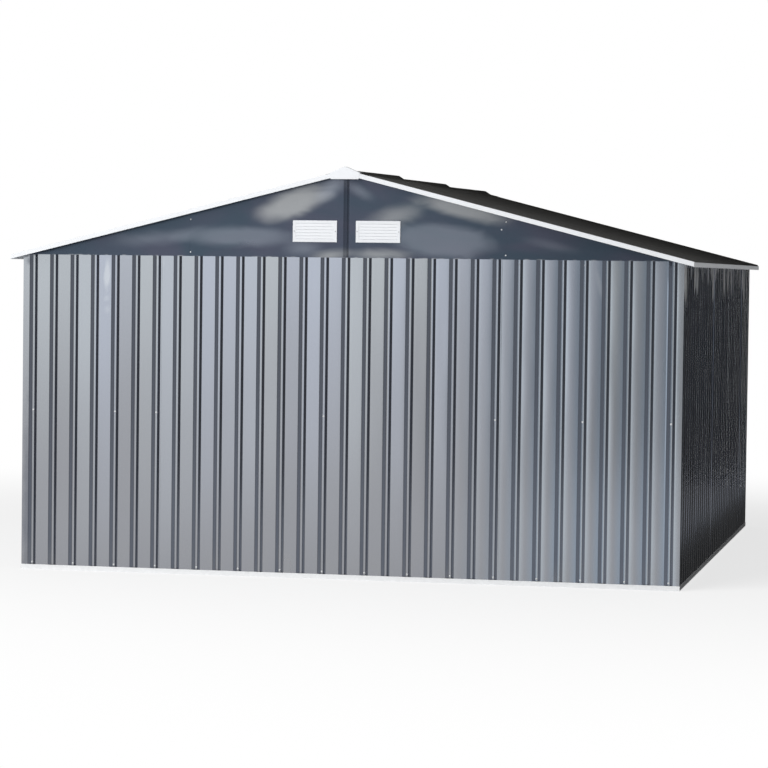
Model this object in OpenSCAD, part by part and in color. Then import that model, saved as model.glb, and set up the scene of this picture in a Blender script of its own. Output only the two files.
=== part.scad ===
// Metal storage shed: ribbed steel walls on a base frame, plain gable panels with louvred
// vents, and a two-slope ribbed roof with white edge trims. Millimetres. The origin is on the
// ground at the middle of the shed, +X along the gable wall, -Y towards the plain gable end,
// +Y towards the door end, +Z up.

/* [Walls] */
// Outside width across the gable walls
wall_w = 3286; // [2438:106:4346]
// Outside length along the eaves
wall_d = 3750; // [2000:10:5000]
// Height of the end walls, from the ground to the gable seam
wall_h = 1568; // [1300:1:2200]
// Thickness of the wall, gable and roof sheets
sheet_t = 1; // [0.6:0.1:1.6]

/* [Ribs] */
// Spacing of the pressed ribs
rib_pitch = 106; // [90:1:130]
// Width of a rib at the face of the sheet
rib_mouth = 40; // [30:1:50]
// Width of a rib at its floor
rib_floor = 12; // [6:1:20]
// Depth of a rib
rib_depth = 10; // [5:1:16]

/* [Frame] */
// Thickness of the rails, posts and beams
frame_t = 1.5; // [1:0.1:3]
// Height of the base rail's outer lip
base_h = 24; // [15:1:50]
// Width of the base rail's flange on the ground
base_flange = 60; // [55:1:90]
// Height of the rails and beams inside
rail_h = 40; // [25:1:60]
// Width of the rails' flanges inside
rail_flange = 20; // [12:1:26]
// Radius of the anchor holes in the base rails
anchor_r = 4.5; // [3:0.5:8]
// Distance of the anchor holes from the inner corner of the base frame
anchor_inset = 240; // [120:10:500]

/* [Roof] */
// Pitch of the roof in degrees
roof_pitch = 14.1; // [8:0.1:30]
// How far the roof reaches past the gable walls
gable_overhang = 55; // [45:1:150]
// How far the roof reaches past the side walls
eave_overhang = 49; // [20:1:150]
// Height of the roof line over the gable seam at the corners
seam_drop = 9; // [5:1:30]
// Depth of the roof's ribs
roof_rib_depth = 7; // [4:1:14]
// Half width of the ridge cap, measured level
ridge_half_w = 110; // [60:1:200]
// Half width of the ridge cap's flat crest, where the roof sheets stop
crest_half_w = 26; // [10:1:40]

/* [Trims] */
// Thickness of the white trims
trim_t = 1.2; // [0.8:0.1:2]
// Height of the barge and eave trims
trim_h = 22; // [15:1:50]
// Half width of the peak cap
peak_half_w = 75; // [50:1:120]
// Height of the peak cap
peak_h = 62; // [50:1:90]

/* [Vents] */
// Width of a vent
vent_w = 220; // [140:1:280]
// Height of a vent
vent_h = 105; // [80:1:140]
// Distance from the middle of the gable to the middle of a vent
vent_x = 157; // [150:1:260]
// Height of the middle of a vent over the gable seam
vent_z = 127; // [90:1:160]
// Width of a vent's frame
vent_frame = 15; // [10:1:25]
// Number of louvres in a vent
vent_slats = 5; // [3:1:7]

/* [Doors] */
// Width of the doorway
door_w = 1378; // [954:212:1802]
// Thickness of a door leaf
door_t = 22; // [16:1:24]
// Width of a door leaf's frame members
door_frame = 36; // [25:1:60]
// How far a closed leaf reaches behind the wall
door_lap = 30; // [15:1:60]
// Height of the fascia over the doorway
fascia_h = 46; // [40:1:80]

/* [Hidden] */

PAINT = "#596472";
DARK_PAINT = "#3c444f";
TRIM = "#eef0f2";
GALVANISED = "#c9ccd0";
HANDLE = "#24272b";

half_w = wall_w / 2;
half_d = wall_d / 2;
skin = rib_depth + sheet_t;                 // whole depth of a ribbed wall sheet
roof_skin = roof_rib_depth + sheet_t;       // whole depth of a ribbed roof sheet
seat = 0.3;                                 // clearance under a sheet that rests on an edge
slope = tan(roof_pitch);
lean = 1 / cos(roof_pitch);                 // level-to-square factor for layers on the slope
eave_x = half_w + eave_overhang;
roof_len = wall_d + 2 * gable_overhang;
half_roof = roof_len / 2;
trim_flange = (roof_len - (rib_count(roof_len) - 1) * rib_pitch - rib_mouth) / 2 - 5;
corner_gap = 60;                            // rails stop this far short of the corners
v_half = 13;                                // half width of the gable's centre groove
v_depth = 6;                                // depth of the gable's centre groove
post_leg = (rib_pitch - rib_mouth) / 2 - 3;
door_back = skin + 3;                       // the leaves run this far behind the wall face
track_gap = 1.5;                            // side clearance of a leaf in its track
cut = 1;                                    // overrun of a cutting shape

// Height of the roof sheet's underside at a level distance x from the ridge.
function under(x) = wall_h + seam_drop + (half_w - abs(x)) * slope;

// Number of ribs on a sheet of the given length.
function rib_count(length) = floor(length / rib_pitch + 0.001);

// Middles of the ribs on a sheet of the given length.
function rib_places(length) =
  let (count = rib_count(length), margin = (length - (count - 1) * rib_pitch) / 2)
  [for (i = [0:count - 1]) margin + i * rib_pitch];

// Outer line of a ribbed sheet from [0, 0] to [length, 0], with the ribs pressed towards +y.
function rib_line(length, depth) = concat(
  [[0, 0]],
  [for (c = rib_places(length))
    each [[c - rib_mouth / 2, 0], [c - rib_floor / 2, depth],
          [c + rib_floor / 2, depth], [c + rib_mouth / 2, 0]]],
  [[length, 0]]);

// Closed outline of a ribbed sheet.
function rib_outline(length, depth) =
  let (line = rib_line(length, depth), last = len(line) - 1)
  concat(line, [for (i = [last:-1:0]) line[i] + [0, sheet_t]]);

// A ribbed sheet standing along +X with its face towards -Y.
module ribbed_sheet(length, height) {
  linear_extrude(height) polygon(rib_outline(length, rib_depth));
}

// Extrudes an outline drawn in X and Z from y0 to y1.
module along_y(y0, y1) {
  translate([0, y1, 0]) rotate([90, 0, 0]) linear_extrude(y1 - y0) children();
}

// Extrudes an outline drawn in Y and Z from x0 to x1.
module along_x(x0, x1) {
  translate([x0, 0, 0]) rotate([90, 0, 90]) linear_extrude(x1 - x0) children();
}

// Turns a piece made for the -Y end into the one at the +Y end, left staying left.
module at_front() {
  mirror([0, 1, 0]) children();
}

// Turns a piece made for the +X side into the one at the -X side.
module at_left() {
  mirror([1, 0, 0]) children();
}

// ---- base frame ----

module anchor_hole(x, y) {
  translate([x, y, -cut]) cylinder(r = anchor_r, h = frame_t + 2 * cut, $fn = 32);
}

// Base rail under a gable wall: an outer lip and a flange on the ground.
module base_rail_end() {
  anchor_x = half_w - base_flange - anchor_inset;
  color(GALVANISED) difference() {
    union() {
      translate([-half_w - frame_t, -half_d - frame_t, 0]) cube([wall_w + 2 * frame_t, frame_t, base_h]);
      translate([-half_w, -half_d - frame_t, 0]) cube([wall_w, base_flange + frame_t, frame_t]);
    }
    for (x = [-anchor_x, anchor_x]) anchor_hole(x, -half_d + base_flange * 2 / 3);
  }
}

// Base rail under a side wall, between the flanges of the end rails.
module base_rail_side() {
  run = wall_d - 2 * base_flange;
  color(GALVANISED) union() {
    translate([half_w, -half_d, 0]) cube([frame_t, wall_d, base_h]);
    translate([half_w - base_flange, -run / 2, 0]) cube([base_flange + frame_t, run, frame_t]);
  }
}

// Angle post inside the rear right corner.
module corner_post() {
  foot = frame_t;
  height = wall_h - foot - seam_drop;
  color(GALVANISED) translate([half_w - sheet_t, -half_d + sheet_t, foot])
    linear_extrude(height)
      polygon([[0, 0], [-post_leg, 0], [-post_leg, frame_t], [-frame_t, frame_t],
               [-frame_t, post_leg], [0, post_leg]]);
}

// ---- walls ----

module rear_wall() {
  color(PAINT) translate([-half_w, -half_d, frame_t]) ribbed_sheet(wall_w, wall_h - frame_t);
}

// Side wall on the +X side, between the two end walls.
module side_wall() {
  length = wall_d - 2 * sheet_t;
  height = under(half_w) - seat - frame_t;
  color(PAINT) translate([half_w, -length / 2, frame_t]) rotate([0, 0, 90]) ribbed_sheet(length, height);
}

// Wall beside the doorway, made at the -Y end on the +X side.
module wall_beside_door() {
  length = half_w - door_w / 2;
  color(PAINT) union() {
    translate([door_w / 2, -half_d, frame_t]) ribbed_sheet(length, wall_h - frame_t);
    translate([door_w / 2, -half_d, frame_t]) cube([sheet_t, skin, wall_h - frame_t]);
  }
}

// ---- rails inside the walls ----

// Outline of a channel that backs a wall, with its web on the ribs.
module channel_outline(height, flange) {
  difference() {
    translate([0, -height / 2]) square([flange, height]);
    translate([frame_t, -height / 2 + frame_t]) square([flange, height - 2 * frame_t]);
  }
}

module mid_rail_end() {
  reach = half_w - skin - rail_flange - 2;
  color(GALVANISED) along_x(-reach, reach)
    translate([-half_d + skin, wall_h / 2]) channel_outline(rail_h, rail_flange);
}

module mid_rail_side() {
  reach = half_d - skin - rail_flange - 2;
  color(GALVANISED) along_y(-reach, reach)
    translate([half_w - skin, wall_h / 2]) mirror([1, 0]) channel_outline(rail_h, rail_flange);
}

// Rail at the seam of an end wall: a web on the wall's top edge and a leg behind the gable.
module seam_rail(with_lower_leg) {
  reach = half_w - corner_gap;
  leg_h = rail_h / 2;
  color(GALVANISED) difference() {
    along_x(-reach, reach) union() {
      translate([-half_d + sheet_t, wall_h]) square([skin - sheet_t + frame_t, frame_t]);
      translate([-half_d + sheet_t, wall_h]) square([frame_t, leg_h]);
      if (with_lower_leg) translate([-half_d + skin, wall_h - leg_h]) square([frame_t, leg_h + frame_t]);
    }
    translate([-v_half - 2, -half_d, wall_h + frame_t]) cube([2 * v_half + 4, skin + cut, rail_h]);
    translate([-v_half - 2, -half_d, wall_h - cut]) cube([2 * v_half + 4, v_depth + sheet_t + seat, rail_h]);
  }
}

// Rail that carries the roof over a side wall.
module eave_rail() {
  x1 = half_w - skin;
  x0 = x1 - rail_flange * 1.5;
  flange_t = frame_t * lean;
  color(GALVANISED) along_y(-half_d + corner_gap, half_d - corner_gap)
    polygon([[x1, under(x1)], [x1, under(x1) - rail_h], [x1 - frame_t, under(x1) - rail_h],
             [x1 - frame_t, under(x1 - frame_t) - flange_t], [x0, under(x0) - flange_t], [x0, under(x0)]]);
}

// ---- gables and vents ----

// Face of half a gable, from the seam to the roof, on the +X side.
module gable_outline() {
  polygon([[0, wall_h], [half_w, wall_h], [half_w, under(half_w) - seat], [0, under(0) - seat]]);
}

// Half a gable panel with its edge turned in at the centre groove and a hole for the vent.
module gable() {
  hole_w = vent_w - 2 * vent_frame;
  hole_h = vent_h - 2 * vent_frame;
  color(DARK_PAINT) difference() {
    intersection() {
      translate([0, -half_d, wall_h]) linear_extrude(under(0))
        polygon([[0, v_depth], [v_half, 0], [half_w, 0], [half_w, sheet_t], [v_half, sheet_t],
                 [0, v_depth + sheet_t]]);
      along_y(-half_d - cut, -half_d + skin) gable_outline();
    }
    translate([vent_x - hole_w / 2, -half_d - cut, wall_h + vent_z - hole_h / 2])
      cube([hole_w, 2 * cut + sheet_t, hole_h]);
  }
}

// Louvred vent on the face of the rear gable, on the +X side.
module vent() {
  depth = 6;
  plate = 3;
  hole_w = vent_w - 2 * vent_frame;
  hole_h = vent_h - 2 * vent_frame;
  step = hole_h / vent_slats;
  slat_t = 1.6;
  low = wall_h + vent_z - hole_h / 2;
  color(TRIM) union() {
    difference() {
      translate([vent_x - vent_w / 2, -half_d - depth, wall_h + vent_z - vent_h / 2])
        cube([vent_w, depth, vent_h]);
      translate([vent_x - hole_w / 2, -half_d - depth - cut, low])
        cube([hole_w, depth + 2 * cut, hole_h]);
      translate([vent_x - vent_w / 2 + plate, -half_d - depth + plate, wall_h + vent_z - vent_h / 2 + plate])
        cube([vent_w - 2 * plate, depth, vent_h - 2 * plate]);
    }
    for (i = [0:vent_slats - 1])
      along_x(vent_x - hole_w / 2 - cut, vent_x + hole_w / 2 + cut)
        polygon([[-half_d - depth + 0.5, low + i * step + 1], [-half_d - depth + 0.5, low + i * step + 1 + slat_t],
                 [-half_d - depth + plate, low + (i + 1) * step - 1 + slat_t],
                 [-half_d - depth + plate, low + (i + 1) * step - 1]]);
  }
}

// ---- roof ----

// Ridge beam: a box channel whose top follows both slopes.
module ridge_beam() {
  w = crest_half_w + 20;
  reach = half_d - v_depth - sheet_t;
  flange_t = frame_t * lean;
  color(GALVANISED) along_y(-reach, reach)
    polygon([[0, under(0)], [w, under(w)], [w, under(w) - rail_h], [w - frame_t, under(w) - rail_h],
             [w - frame_t, under(w - frame_t) - flange_t], [0, under(0) - flange_t],
             [frame_t - w, under(w - frame_t) - flange_t], [frame_t - w, under(w) - rail_h],
             [-w, under(w) - rail_h], [-w, under(w)]]);
}

// Purlin half way down the +X slope.
module purlin() {
  x0 = half_w / 2 - rail_flange;
  x1 = half_w / 2 + rail_flange;
  flange_t = frame_t * lean;
  reach = half_d - sheet_t;
  color(GALVANISED) along_y(-reach, reach)
    polygon([[x0, under(x0)], [x1, under(x1)], [x1, under(x1) - flange_t],
             [x0 + frame_t, under(x0 + frame_t) - flange_t], [x0 + frame_t, under(x0) - rail_h],
             [x0, under(x0) - rail_h]]);
}

// Ribbed roof sheet on the +X slope, with its ribs standing up. It stops short of the ridge.
module roof_slope() {
  length = (eave_x - crest_half_w) * lean;
  color(DARK_PAINT) translate([crest_half_w, -half_roof, under(crest_half_w)]) rotate([0, roof_pitch, 0])
    rotate([90, 0, 90]) linear_extrude(length) polygon(rib_outline(roof_len, roof_rib_depth));
}

// Cap over the ridge, which rests on the roof's ribs between the barge trims.
module ridge_cap() {
  run = roof_len - 2 * trim_flange - 4;
  rise = roof_skin * lean;
  top = rise + sheet_t * lean;
  lip = 6;
  w = ridge_half_w;
  crest = crest_half_w;
  color(DARK_PAINT) along_y(-run / 2, run / 2)
    polygon([[-crest, under(crest) + top], [crest, under(crest) + top], [w, under(w) + top],
             [w, under(w) + rise - lip], [w - sheet_t, under(w - sheet_t) + rise - lip],
             [w - sheet_t, under(w - sheet_t) + rise], [crest, under(crest) + rise],
             [-crest, under(crest) + rise], [sheet_t - w, under(w - sheet_t) + rise],
             [sheet_t - w, under(w - sheet_t) + rise - lip], [-w, under(w) + rise - lip],
             [-w, under(w) + top]]);
}

// ---- trims ----

// Strip that follows the +X slope, between two heights over the roof's underside.
module slope_strip(low, high, x0, x1) {
  polygon([[x0, under(x0) + low], [x1, under(x1) + low], [x1, under(x1) + high], [x0, under(x0) + high]]);
}

// Barge trim along the rear edge of the +X slope, with its end closed at the eave.
module barge() {
  top = (sheet_t + trim_t) * lean;
  end = eave_x + trim_t;
  color(TRIM) union() {
    along_y(-half_roof - trim_t, -half_roof) slope_strip(top - trim_h * lean, top, 0, end);
    along_y(-half_roof - trim_t, -half_roof + trim_flange) slope_strip(sheet_t * lean, top, 0, end);
  }
}

// Folded cap over the meeting barge trims, with a lip that reaches back over them.
module peak_cap() {
  apex = under(0) + (sheet_t + trim_t) * lean + 17;
  shoulder = apex - peak_half_w * 0.42;
  low = apex - peak_h;
  face = -half_roof - trim_t;
  color(TRIM) union() {
    along_y(face - trim_t, face)
      polygon([[0, apex], [peak_half_w, shoulder], [peak_half_w - 6, low], [6 - peak_half_w, low],
               [-peak_half_w, shoulder]]);
    along_y(face - trim_t, face + trim_flange)
      polygon([[0, apex], [peak_half_w, shoulder], [peak_half_w, shoulder - trim_t], [0, apex - trim_t],
               [-peak_half_w, shoulder - trim_t], [-peak_half_w, shoulder]]);
  }
}

// Trim under the edge of the roof along the +X eave.
module eave_trim() {
  z = under(eave_x);
  back = eave_x - 30;
  color(TRIM) along_y(-half_roof, half_roof)
    polygon([[eave_x, z], [eave_x + trim_t, z], [eave_x + trim_t, z - trim_h], [eave_x, z - trim_h],
             [eave_x, z - trim_t * lean], [back, under(back) - trim_t * lean], [back, under(back)]]);
}

// ---- doors ----

// Channel that the leaves hang in, with the fascia over the doorway. Made at the -Y end.
module door_track() {
  reach = half_w - corner_gap;
  inner = door_back + door_t + 6;
  lip = 30;
  color(GALVANISED) union() {
    along_x(-reach, reach) union() {
      translate([-half_d + skin, wall_h - frame_t]) square([inner - skin + frame_t, frame_t]);
      translate([-half_d + skin, wall_h - lip]) square([frame_t, lip]);
      translate([-half_d + inner, wall_h - lip]) square([frame_t, lip]);
    }
    along_x(-door_w / 2, door_w / 2) union() {
      translate([-half_d, wall_h - fascia_h]) square([sheet_t, fascia_h]);
      translate([-half_d, wall_h - frame_t]) square([skin + frame_t, frame_t]);
    }
  }
}

// Bow handle on the face of the leaf.
module handle(x, z) {
  w = 18;
  h = 130;
  stand = 22;
  color(HANDLE) translate([x - w / 2, -half_d + door_back - stand, z - h / 2]) difference() {
    cube([w, stand, h]);
    translate([-cut, 7, 18]) cube([w + 2 * cut, stand, h - 36]);
  }
}

// Sliding leaf on the +X side of the doorway: a framed ribbed sheet with two hangers.
module door_leaf() {
  x0 = 1;
  x1 = door_w / 2 + door_lap;
  z1 = wall_h - frame_t - 12;
  low = frame_t;
  width = x1 - x0;
  height = z1 - low;
  middle = low + height / 2;
  inner_w = width - 2 * door_frame;
  color(PAINT) union() {
    difference() {
      translate([x0, -half_d + door_back, low]) cube([width, door_t, height]);
      for (z = [low + door_frame, middle + door_frame / 2])
        translate([x0 + door_frame, -half_d + door_back - cut, z])
          cube([inner_w, door_t + 2 * cut, height / 2 - door_frame * 1.5]);
    }
    translate([x0 + door_frame - cut, -half_d + door_back + 3, low + cut])
      ribbed_sheet(inner_w + 2 * cut, height - 2 * cut);
    for (x = [x0 + width / 5, x1 - width / 5])
      translate([x - 15, -half_d + door_back + door_t / 2 - 5, z1 - cut]) cube([30, 10, 12 + cut]);
  }
  handle(x0 + door_frame / 2, middle);
}

base_rail_end();  // base_rail_rear
at_front() base_rail_end();  // base_rail_front
at_left() base_rail_side();  // base_rail_left
base_rail_side();  // base_rail_right
at_left() corner_post();  // corner_post_rear_left
corner_post();  // corner_post_rear_right
at_front() at_left() corner_post();  // corner_post_front_left
at_front() corner_post();  // corner_post_front_right
rear_wall();
at_left() side_wall();  // left_wall
side_wall();  // right_wall
at_front() at_left() wall_beside_door();  // front_wall_left
at_front() wall_beside_door();  // front_wall_right
mid_rail_end();  // mid_rail_rear
at_left() mid_rail_side();  // mid_rail_left
mid_rail_side();  // mid_rail_right
seam_rail(true);  // top_rail_rear
at_front() seam_rail(false);  // top_rail_front
at_left() eave_rail();  // top_rail_left
eave_rail();  // top_rail_right
at_front() at_left() door_leaf();  // door_left
at_front() door_leaf();  // door_right
at_front() door_track();
at_left() gable();  // rear_gable_left
gable();  // rear_gable_right
at_front() at_left() gable();  // front_gable_left
at_front() gable();  // front_gable_right
at_left() vent();  // rear_vent_left
vent();  // rear_vent_right
at_front() at_left() vent();  // front_vent_left
at_front() vent();  // front_vent_right
ridge_beam();
at_left() purlin();  // purlin_left
purlin();  // purlin_right
at_left() roof_slope();  // roof_left
roof_slope();  // roof_right
ridge_cap();
at_left() eave_trim();  // eave_trim_left
eave_trim();  // eave_trim_right
at_left() barge();  // rear_barge_left
barge();  // rear_barge_right
at_front() at_left() barge();  // front_barge_left
at_front() barge();  // front_barge_right
peak_cap();  // rear_peak_cap
at_front() peak_cap();  // front_peak_cap
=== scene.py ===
"""Metal storage shed: the looks of its ribbed walls, roof, gables, trims, vents and doors."""

from __future__ import annotations

import logging
import math
from dataclasses import dataclass, field
from enum import Enum
from typing import Callable, Iterable

import bmesh
import bpy
from mathutils import Matrix, Vector, noise


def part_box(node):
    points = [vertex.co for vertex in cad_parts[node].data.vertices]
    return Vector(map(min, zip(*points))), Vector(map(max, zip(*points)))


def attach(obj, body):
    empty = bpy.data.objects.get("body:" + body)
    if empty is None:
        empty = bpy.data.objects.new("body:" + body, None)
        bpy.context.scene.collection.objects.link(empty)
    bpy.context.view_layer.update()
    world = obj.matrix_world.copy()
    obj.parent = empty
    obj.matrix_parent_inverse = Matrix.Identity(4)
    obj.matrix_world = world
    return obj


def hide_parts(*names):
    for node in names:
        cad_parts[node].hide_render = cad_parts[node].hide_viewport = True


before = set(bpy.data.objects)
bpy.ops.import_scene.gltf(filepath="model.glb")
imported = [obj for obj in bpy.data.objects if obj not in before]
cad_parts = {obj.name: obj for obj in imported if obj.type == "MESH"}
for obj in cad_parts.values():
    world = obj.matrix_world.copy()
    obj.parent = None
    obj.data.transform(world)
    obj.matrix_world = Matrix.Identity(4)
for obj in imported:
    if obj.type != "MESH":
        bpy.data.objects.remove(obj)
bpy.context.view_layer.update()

LOG = logging.getLogger("shed")
BODY = "root"
MM = 0.001
SHARP = math.radians(30.0)
EPS = 1e-5
LONG = 0.5
TRIM_ROWS = 24
X, Y, Z = range(3)
SIDES = (-1, 1)
ENDS = (False, True)
WHITE = (1.0, 1.0, 1.0, 1.0)
HALF_TURN = Matrix.Rotation(math.pi, 4, "Z")
STAND_UP = Matrix.Rotation(math.pi / 2, 4, "X")
DULLER = {"metallic": 0.82, "gloss": 0.26}

Triple = tuple[float, float, float]
Shape = bmesh.types.BMesh


def even(size: float) -> Triple:
    """The same size along each axis."""
    return (size, size, size)


def share(*values: float) -> float:
    """The least of some values, kept between 0 and 1."""
    return max(0.0, min(1.0, *values))


def end_name(front: bool) -> str:
    """What an end of the shed is called."""
    return "front" if front else "rear"


def side_name(side: int) -> str:
    """What a side of the shed is called, as seen from the rear."""
    return "right" if side > 0 else "left"


# ---------------------------------------------------------------- shader maths


class Wire:
    """A shader socket with arithmetic: each expression adds its own Math node."""

    def __init__(self, book: NodeBook, socket: bpy.types.NodeSocket) -> None:
        """Wrap one output socket of a material's tree."""
        self.book = book
        self.socket = socket

    def _math(self, operation: str, first: Wire | float, second: Wire | float = 0.0) -> Wire:
        """Add a Math node.

        Args:
            operation: the node's operation.
            first: its first value or link.
            second: its second value or link.

        Returns:
            The node's result.
        """
        return self.book.wire("ShaderNodeMath", {"operation": operation}, {0: first, 1: second})

    def __add__(self, other: Wire | float) -> Wire:
        """Sum."""
        return self._math("ADD", self, other)

    __radd__ = __add__

    def __sub__(self, other: Wire | float) -> Wire:
        """Difference."""
        return self._math("SUBTRACT", self, other)

    def __rsub__(self, other: Wire | float) -> Wire:
        """Difference from a number."""
        return self._math("SUBTRACT", other, self)

    def __mul__(self, other: Wire | float) -> Wire:
        """Product."""
        return self._math("MULTIPLY", self, other)

    __rmul__ = __mul__

    def most(self, other: Wire | float) -> Wire:
        """The larger of two values."""
        return self._math("MAXIMUM", self, other)

    def size(self) -> Wire:
        """The value without its sign."""
        return self._math("ABSOLUTE", self)

    def whole(self) -> Wire:
        """The value rounded down."""
        return self._math("FLOOR", self)

    def bounce(self, reach: float) -> Wire:
        """The distance to the nearest multiple of twice the reach."""
        return self._math("PINGPONG", self, reach)

    def band(self, low: float, high: float) -> Wire:
        """Ramp smoothly from 0 at low to 1 at high.

        Args:
            low: the value that gives 0.
            high: the value that gives 1.

        Returns:
            The ramped value.
        """
        settings = {"interpolation_type": "SMOOTHSTEP"}
        inputs = {"Value": self, "From Min": low, "From Max": high}
        return self.book.wire("ShaderNodeMapRange", settings, inputs)


class NodeBook:
    """The node tree of one material or world."""

    MIX_AMOUNT, MIX_FIRST, MIX_SECOND, MIX_RESULT = 0, 6, 7, 2
    PATCH_THROUGH = 50.0
    PATCH_END = 1.18

    def __init__(self, tree: bpy.types.NodeTree) -> None:
        """Start an empty tree."""
        self.tree = tree
        tree.nodes.clear()

    def make(self, kind: str, settings: dict | None = None, inputs: dict | None = None) -> bpy.types.Node:
        """Add a node.

        Args:
            kind: the node's type name.
            settings: its properties, set first.
            inputs: values or links of its sockets, by name or number.

        Returns:
            The new node.
        """
        node = self.tree.nodes.new(kind)
        for key, value in (settings or {}).items():
            setattr(node, key, value)
        for key, value in (inputs or {}).items():
            if isinstance(value, Wire):
                self.tree.links.new(value.socket, node.inputs[key])
            else:
                node.inputs[key].default_value = value
        return node

    def wire(
        self, kind: str, settings: dict | None = None, inputs: dict | None = None, output: int | str = 0
    ) -> Wire:
        """Add a node and wrap one of its outputs."""
        return Wire(self, self.make(kind, settings, inputs).outputs[output])

    def place(self, scale: Triple = even(1.0), shift: Triple = even(0.0)) -> Wire:
        """Object coordinates, scaled and shifted by a Mapping node."""
        coords = self.wire("ShaderNodeTexCoord", output="Object")
        return self.wire("ShaderNodeMapping", None, {"Vector": coords, "Scale": scale, "Location": shift})

    def axes(self) -> tuple[Wire, Wire, Wire]:
        """The X, Y and Z of a point on the object, in metres."""
        split = self.make("ShaderNodeSeparateXYZ", None, {0: self.place()})
        return tuple(Wire(self, output) for output in split.outputs)

    def cloud(self, scale: Triple, detail: float = 2.0, warp: float = 0.0, shift: Triple = even(0.0)) -> Wire:
        """Smooth noise from 0 to 1.

        Args:
            scale: how many blobs there are per metre along each axis.
            detail: octaves of finer noise.
            warp: how much the noise is distorted.
            shift: moves the pattern.

        Returns:
            The noise value.
        """
        inputs = {"Vector": self.place(scale, shift), "Scale": 1.0, "Detail": detail, "Distortion": warp}
        return self.wire("ShaderNodeTexNoise", None, inputs)

    def lot(self, number: Wire) -> Wire:
        """A fixed random value from 0 to 1 for each whole number."""
        return self.wire("ShaderNodeTexWhiteNoise", {"noise_dimensions": "1D"}, {"W": number})

    def blend(self, amount: Wire | float, first: Wire | Triple, second: Wire | Triple) -> Wire:
        """Mix two colours.

        Args:
            amount: the second colour's part, from 0 to 1.
            first: the colour or link at 0.
            second: the colour or link at 1.

        Returns:
            The mixed colour.
        """
        colours = {self.MIX_FIRST: self._opaque(first), self.MIX_SECOND: self._opaque(second)}
        inputs = {self.MIX_AMOUNT: amount, **colours}
        return self.wire("ShaderNodeMix", {"data_type": "RGBA"}, inputs, self.MIX_RESULT)

    @staticmethod
    def _opaque(colour: Wire | Triple) -> Wire | tuple:
        """A colour as a socket takes it."""
        return colour if isinstance(colour, Wire) else (*colour, 1.0)

    def patch(self, dent: DentAndPaintedLight, ragged: Wire) -> Wire:
        """A soft-edged ellipse on a wall that lies along X.

        Args:
            dent: where it is and how large.
            ragged: noise that pulls its edge in and out.

        Returns:
            The patch's strength, from 0 to the dent's own.
        """
        coords = self.wire("ShaderNodeTexCoord", output="Object")
        inputs = {
            "Vector": coords,
            "Location": (dent.x, 0.0, dent.z),
            "Rotation": (0.0, -math.radians(dent.tilt), 0.0),
            "Scale": (dent.half_w, self.PATCH_THROUGH, dent.half_h),
        }
        local = self.wire("ShaderNodeMapping", {"vector_type": "TEXTURE"}, inputs)
        reach = self.wire("ShaderNodeVectorMath", {"operation": "LENGTH"}, {0: local}, "Value")
        return (1.0 - (reach + ragged).band(dent.edge, self.PATCH_END)) * dent.strength

    def bump(self, height: Wire, depth: float, strength: float = 1.0) -> Wire:
        """Turn a height from 0 to 1 into a bumped normal, depth in metres."""
        inputs = {"Strength": strength, "Distance": depth, "Height": height}
        return self.wire("ShaderNodeBump", None, inputs)

    def seen_directly(self) -> Wire:
        """1 for a ray from the camera, a glossy or a clear surface, and 0 for the rest.

        Returns:
            1 or 0 for the ray.
        """
        path = self.make("ShaderNodeLightPath")
        kinds = ("Camera", "Glossy", "Transmission")
        camera, gloss, clear = (Wire(self, path.outputs[f"Is {kind} Ray"]) for kind in kinds)
        return camera.most(gloss).most(clear)

    def surface(
        self, metallic: Wire | float, colour: Wire, rough: Wire, normal: Wire | None = None, **fixed: float
    ) -> None:
        """Finish the material with one Principled shader.

        Args:
            metallic: how far it is a metal, from 0 to 1.
            colour: its colour.
            rough: its roughness.
            normal: its bumped normal, if it has one.
            fixed: plain numbers for other sockets, their names with underscores.
        """
        inputs = {name.replace("_", " "): value for name, value in fixed.items()}
        inputs |= {"Metallic": metallic, "Base Color": colour, "Roughness": rough}
        if normal is not None:
            inputs["Normal"] = normal
        self.close(self.make("ShaderNodeBsdfPrincipled", None, inputs))

    def close(self, shader: bpy.types.Node, output: str = "ShaderNodeOutputMaterial") -> None:
        """End the tree with a shader."""
        self.make(output, None, {"Surface": Wire(self, shader.outputs[0])})


@dataclass(frozen=True)
class DentAndPaintedLight:
    """A soft patch of another tone painted on a sheet, painted light where paler and painted shade where
    darker, which on a gable also buckles the sheet; metres, degrees.

    The edge is the share of its reach where it starts to fade.
    """

    x: float
    z: float
    half_w: float
    half_h: float
    tilt: float = 0.0
    strength: float = 1.0
    edge: float = 0.0

    def depth(self, x: float, z: float) -> float:
        """How strong the dent is at a point, from 0 to 1.

        Args:
            x: the point's place along the wall.
            z: the point's height.

        Returns:
            The strength there.
        """
        turned = math.radians(self.tilt)
        dx, dz = x - self.x, z - self.z
        u = (dx * math.cos(turned) + dz * math.sin(turned)) / self.half_w
        v = (dz * math.cos(turned) - dx * math.sin(turned)) / self.half_h
        return max(0.0, 1.0 - u * u - v * v) ** 2


# ---------------------------------------------------------------- layout


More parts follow.
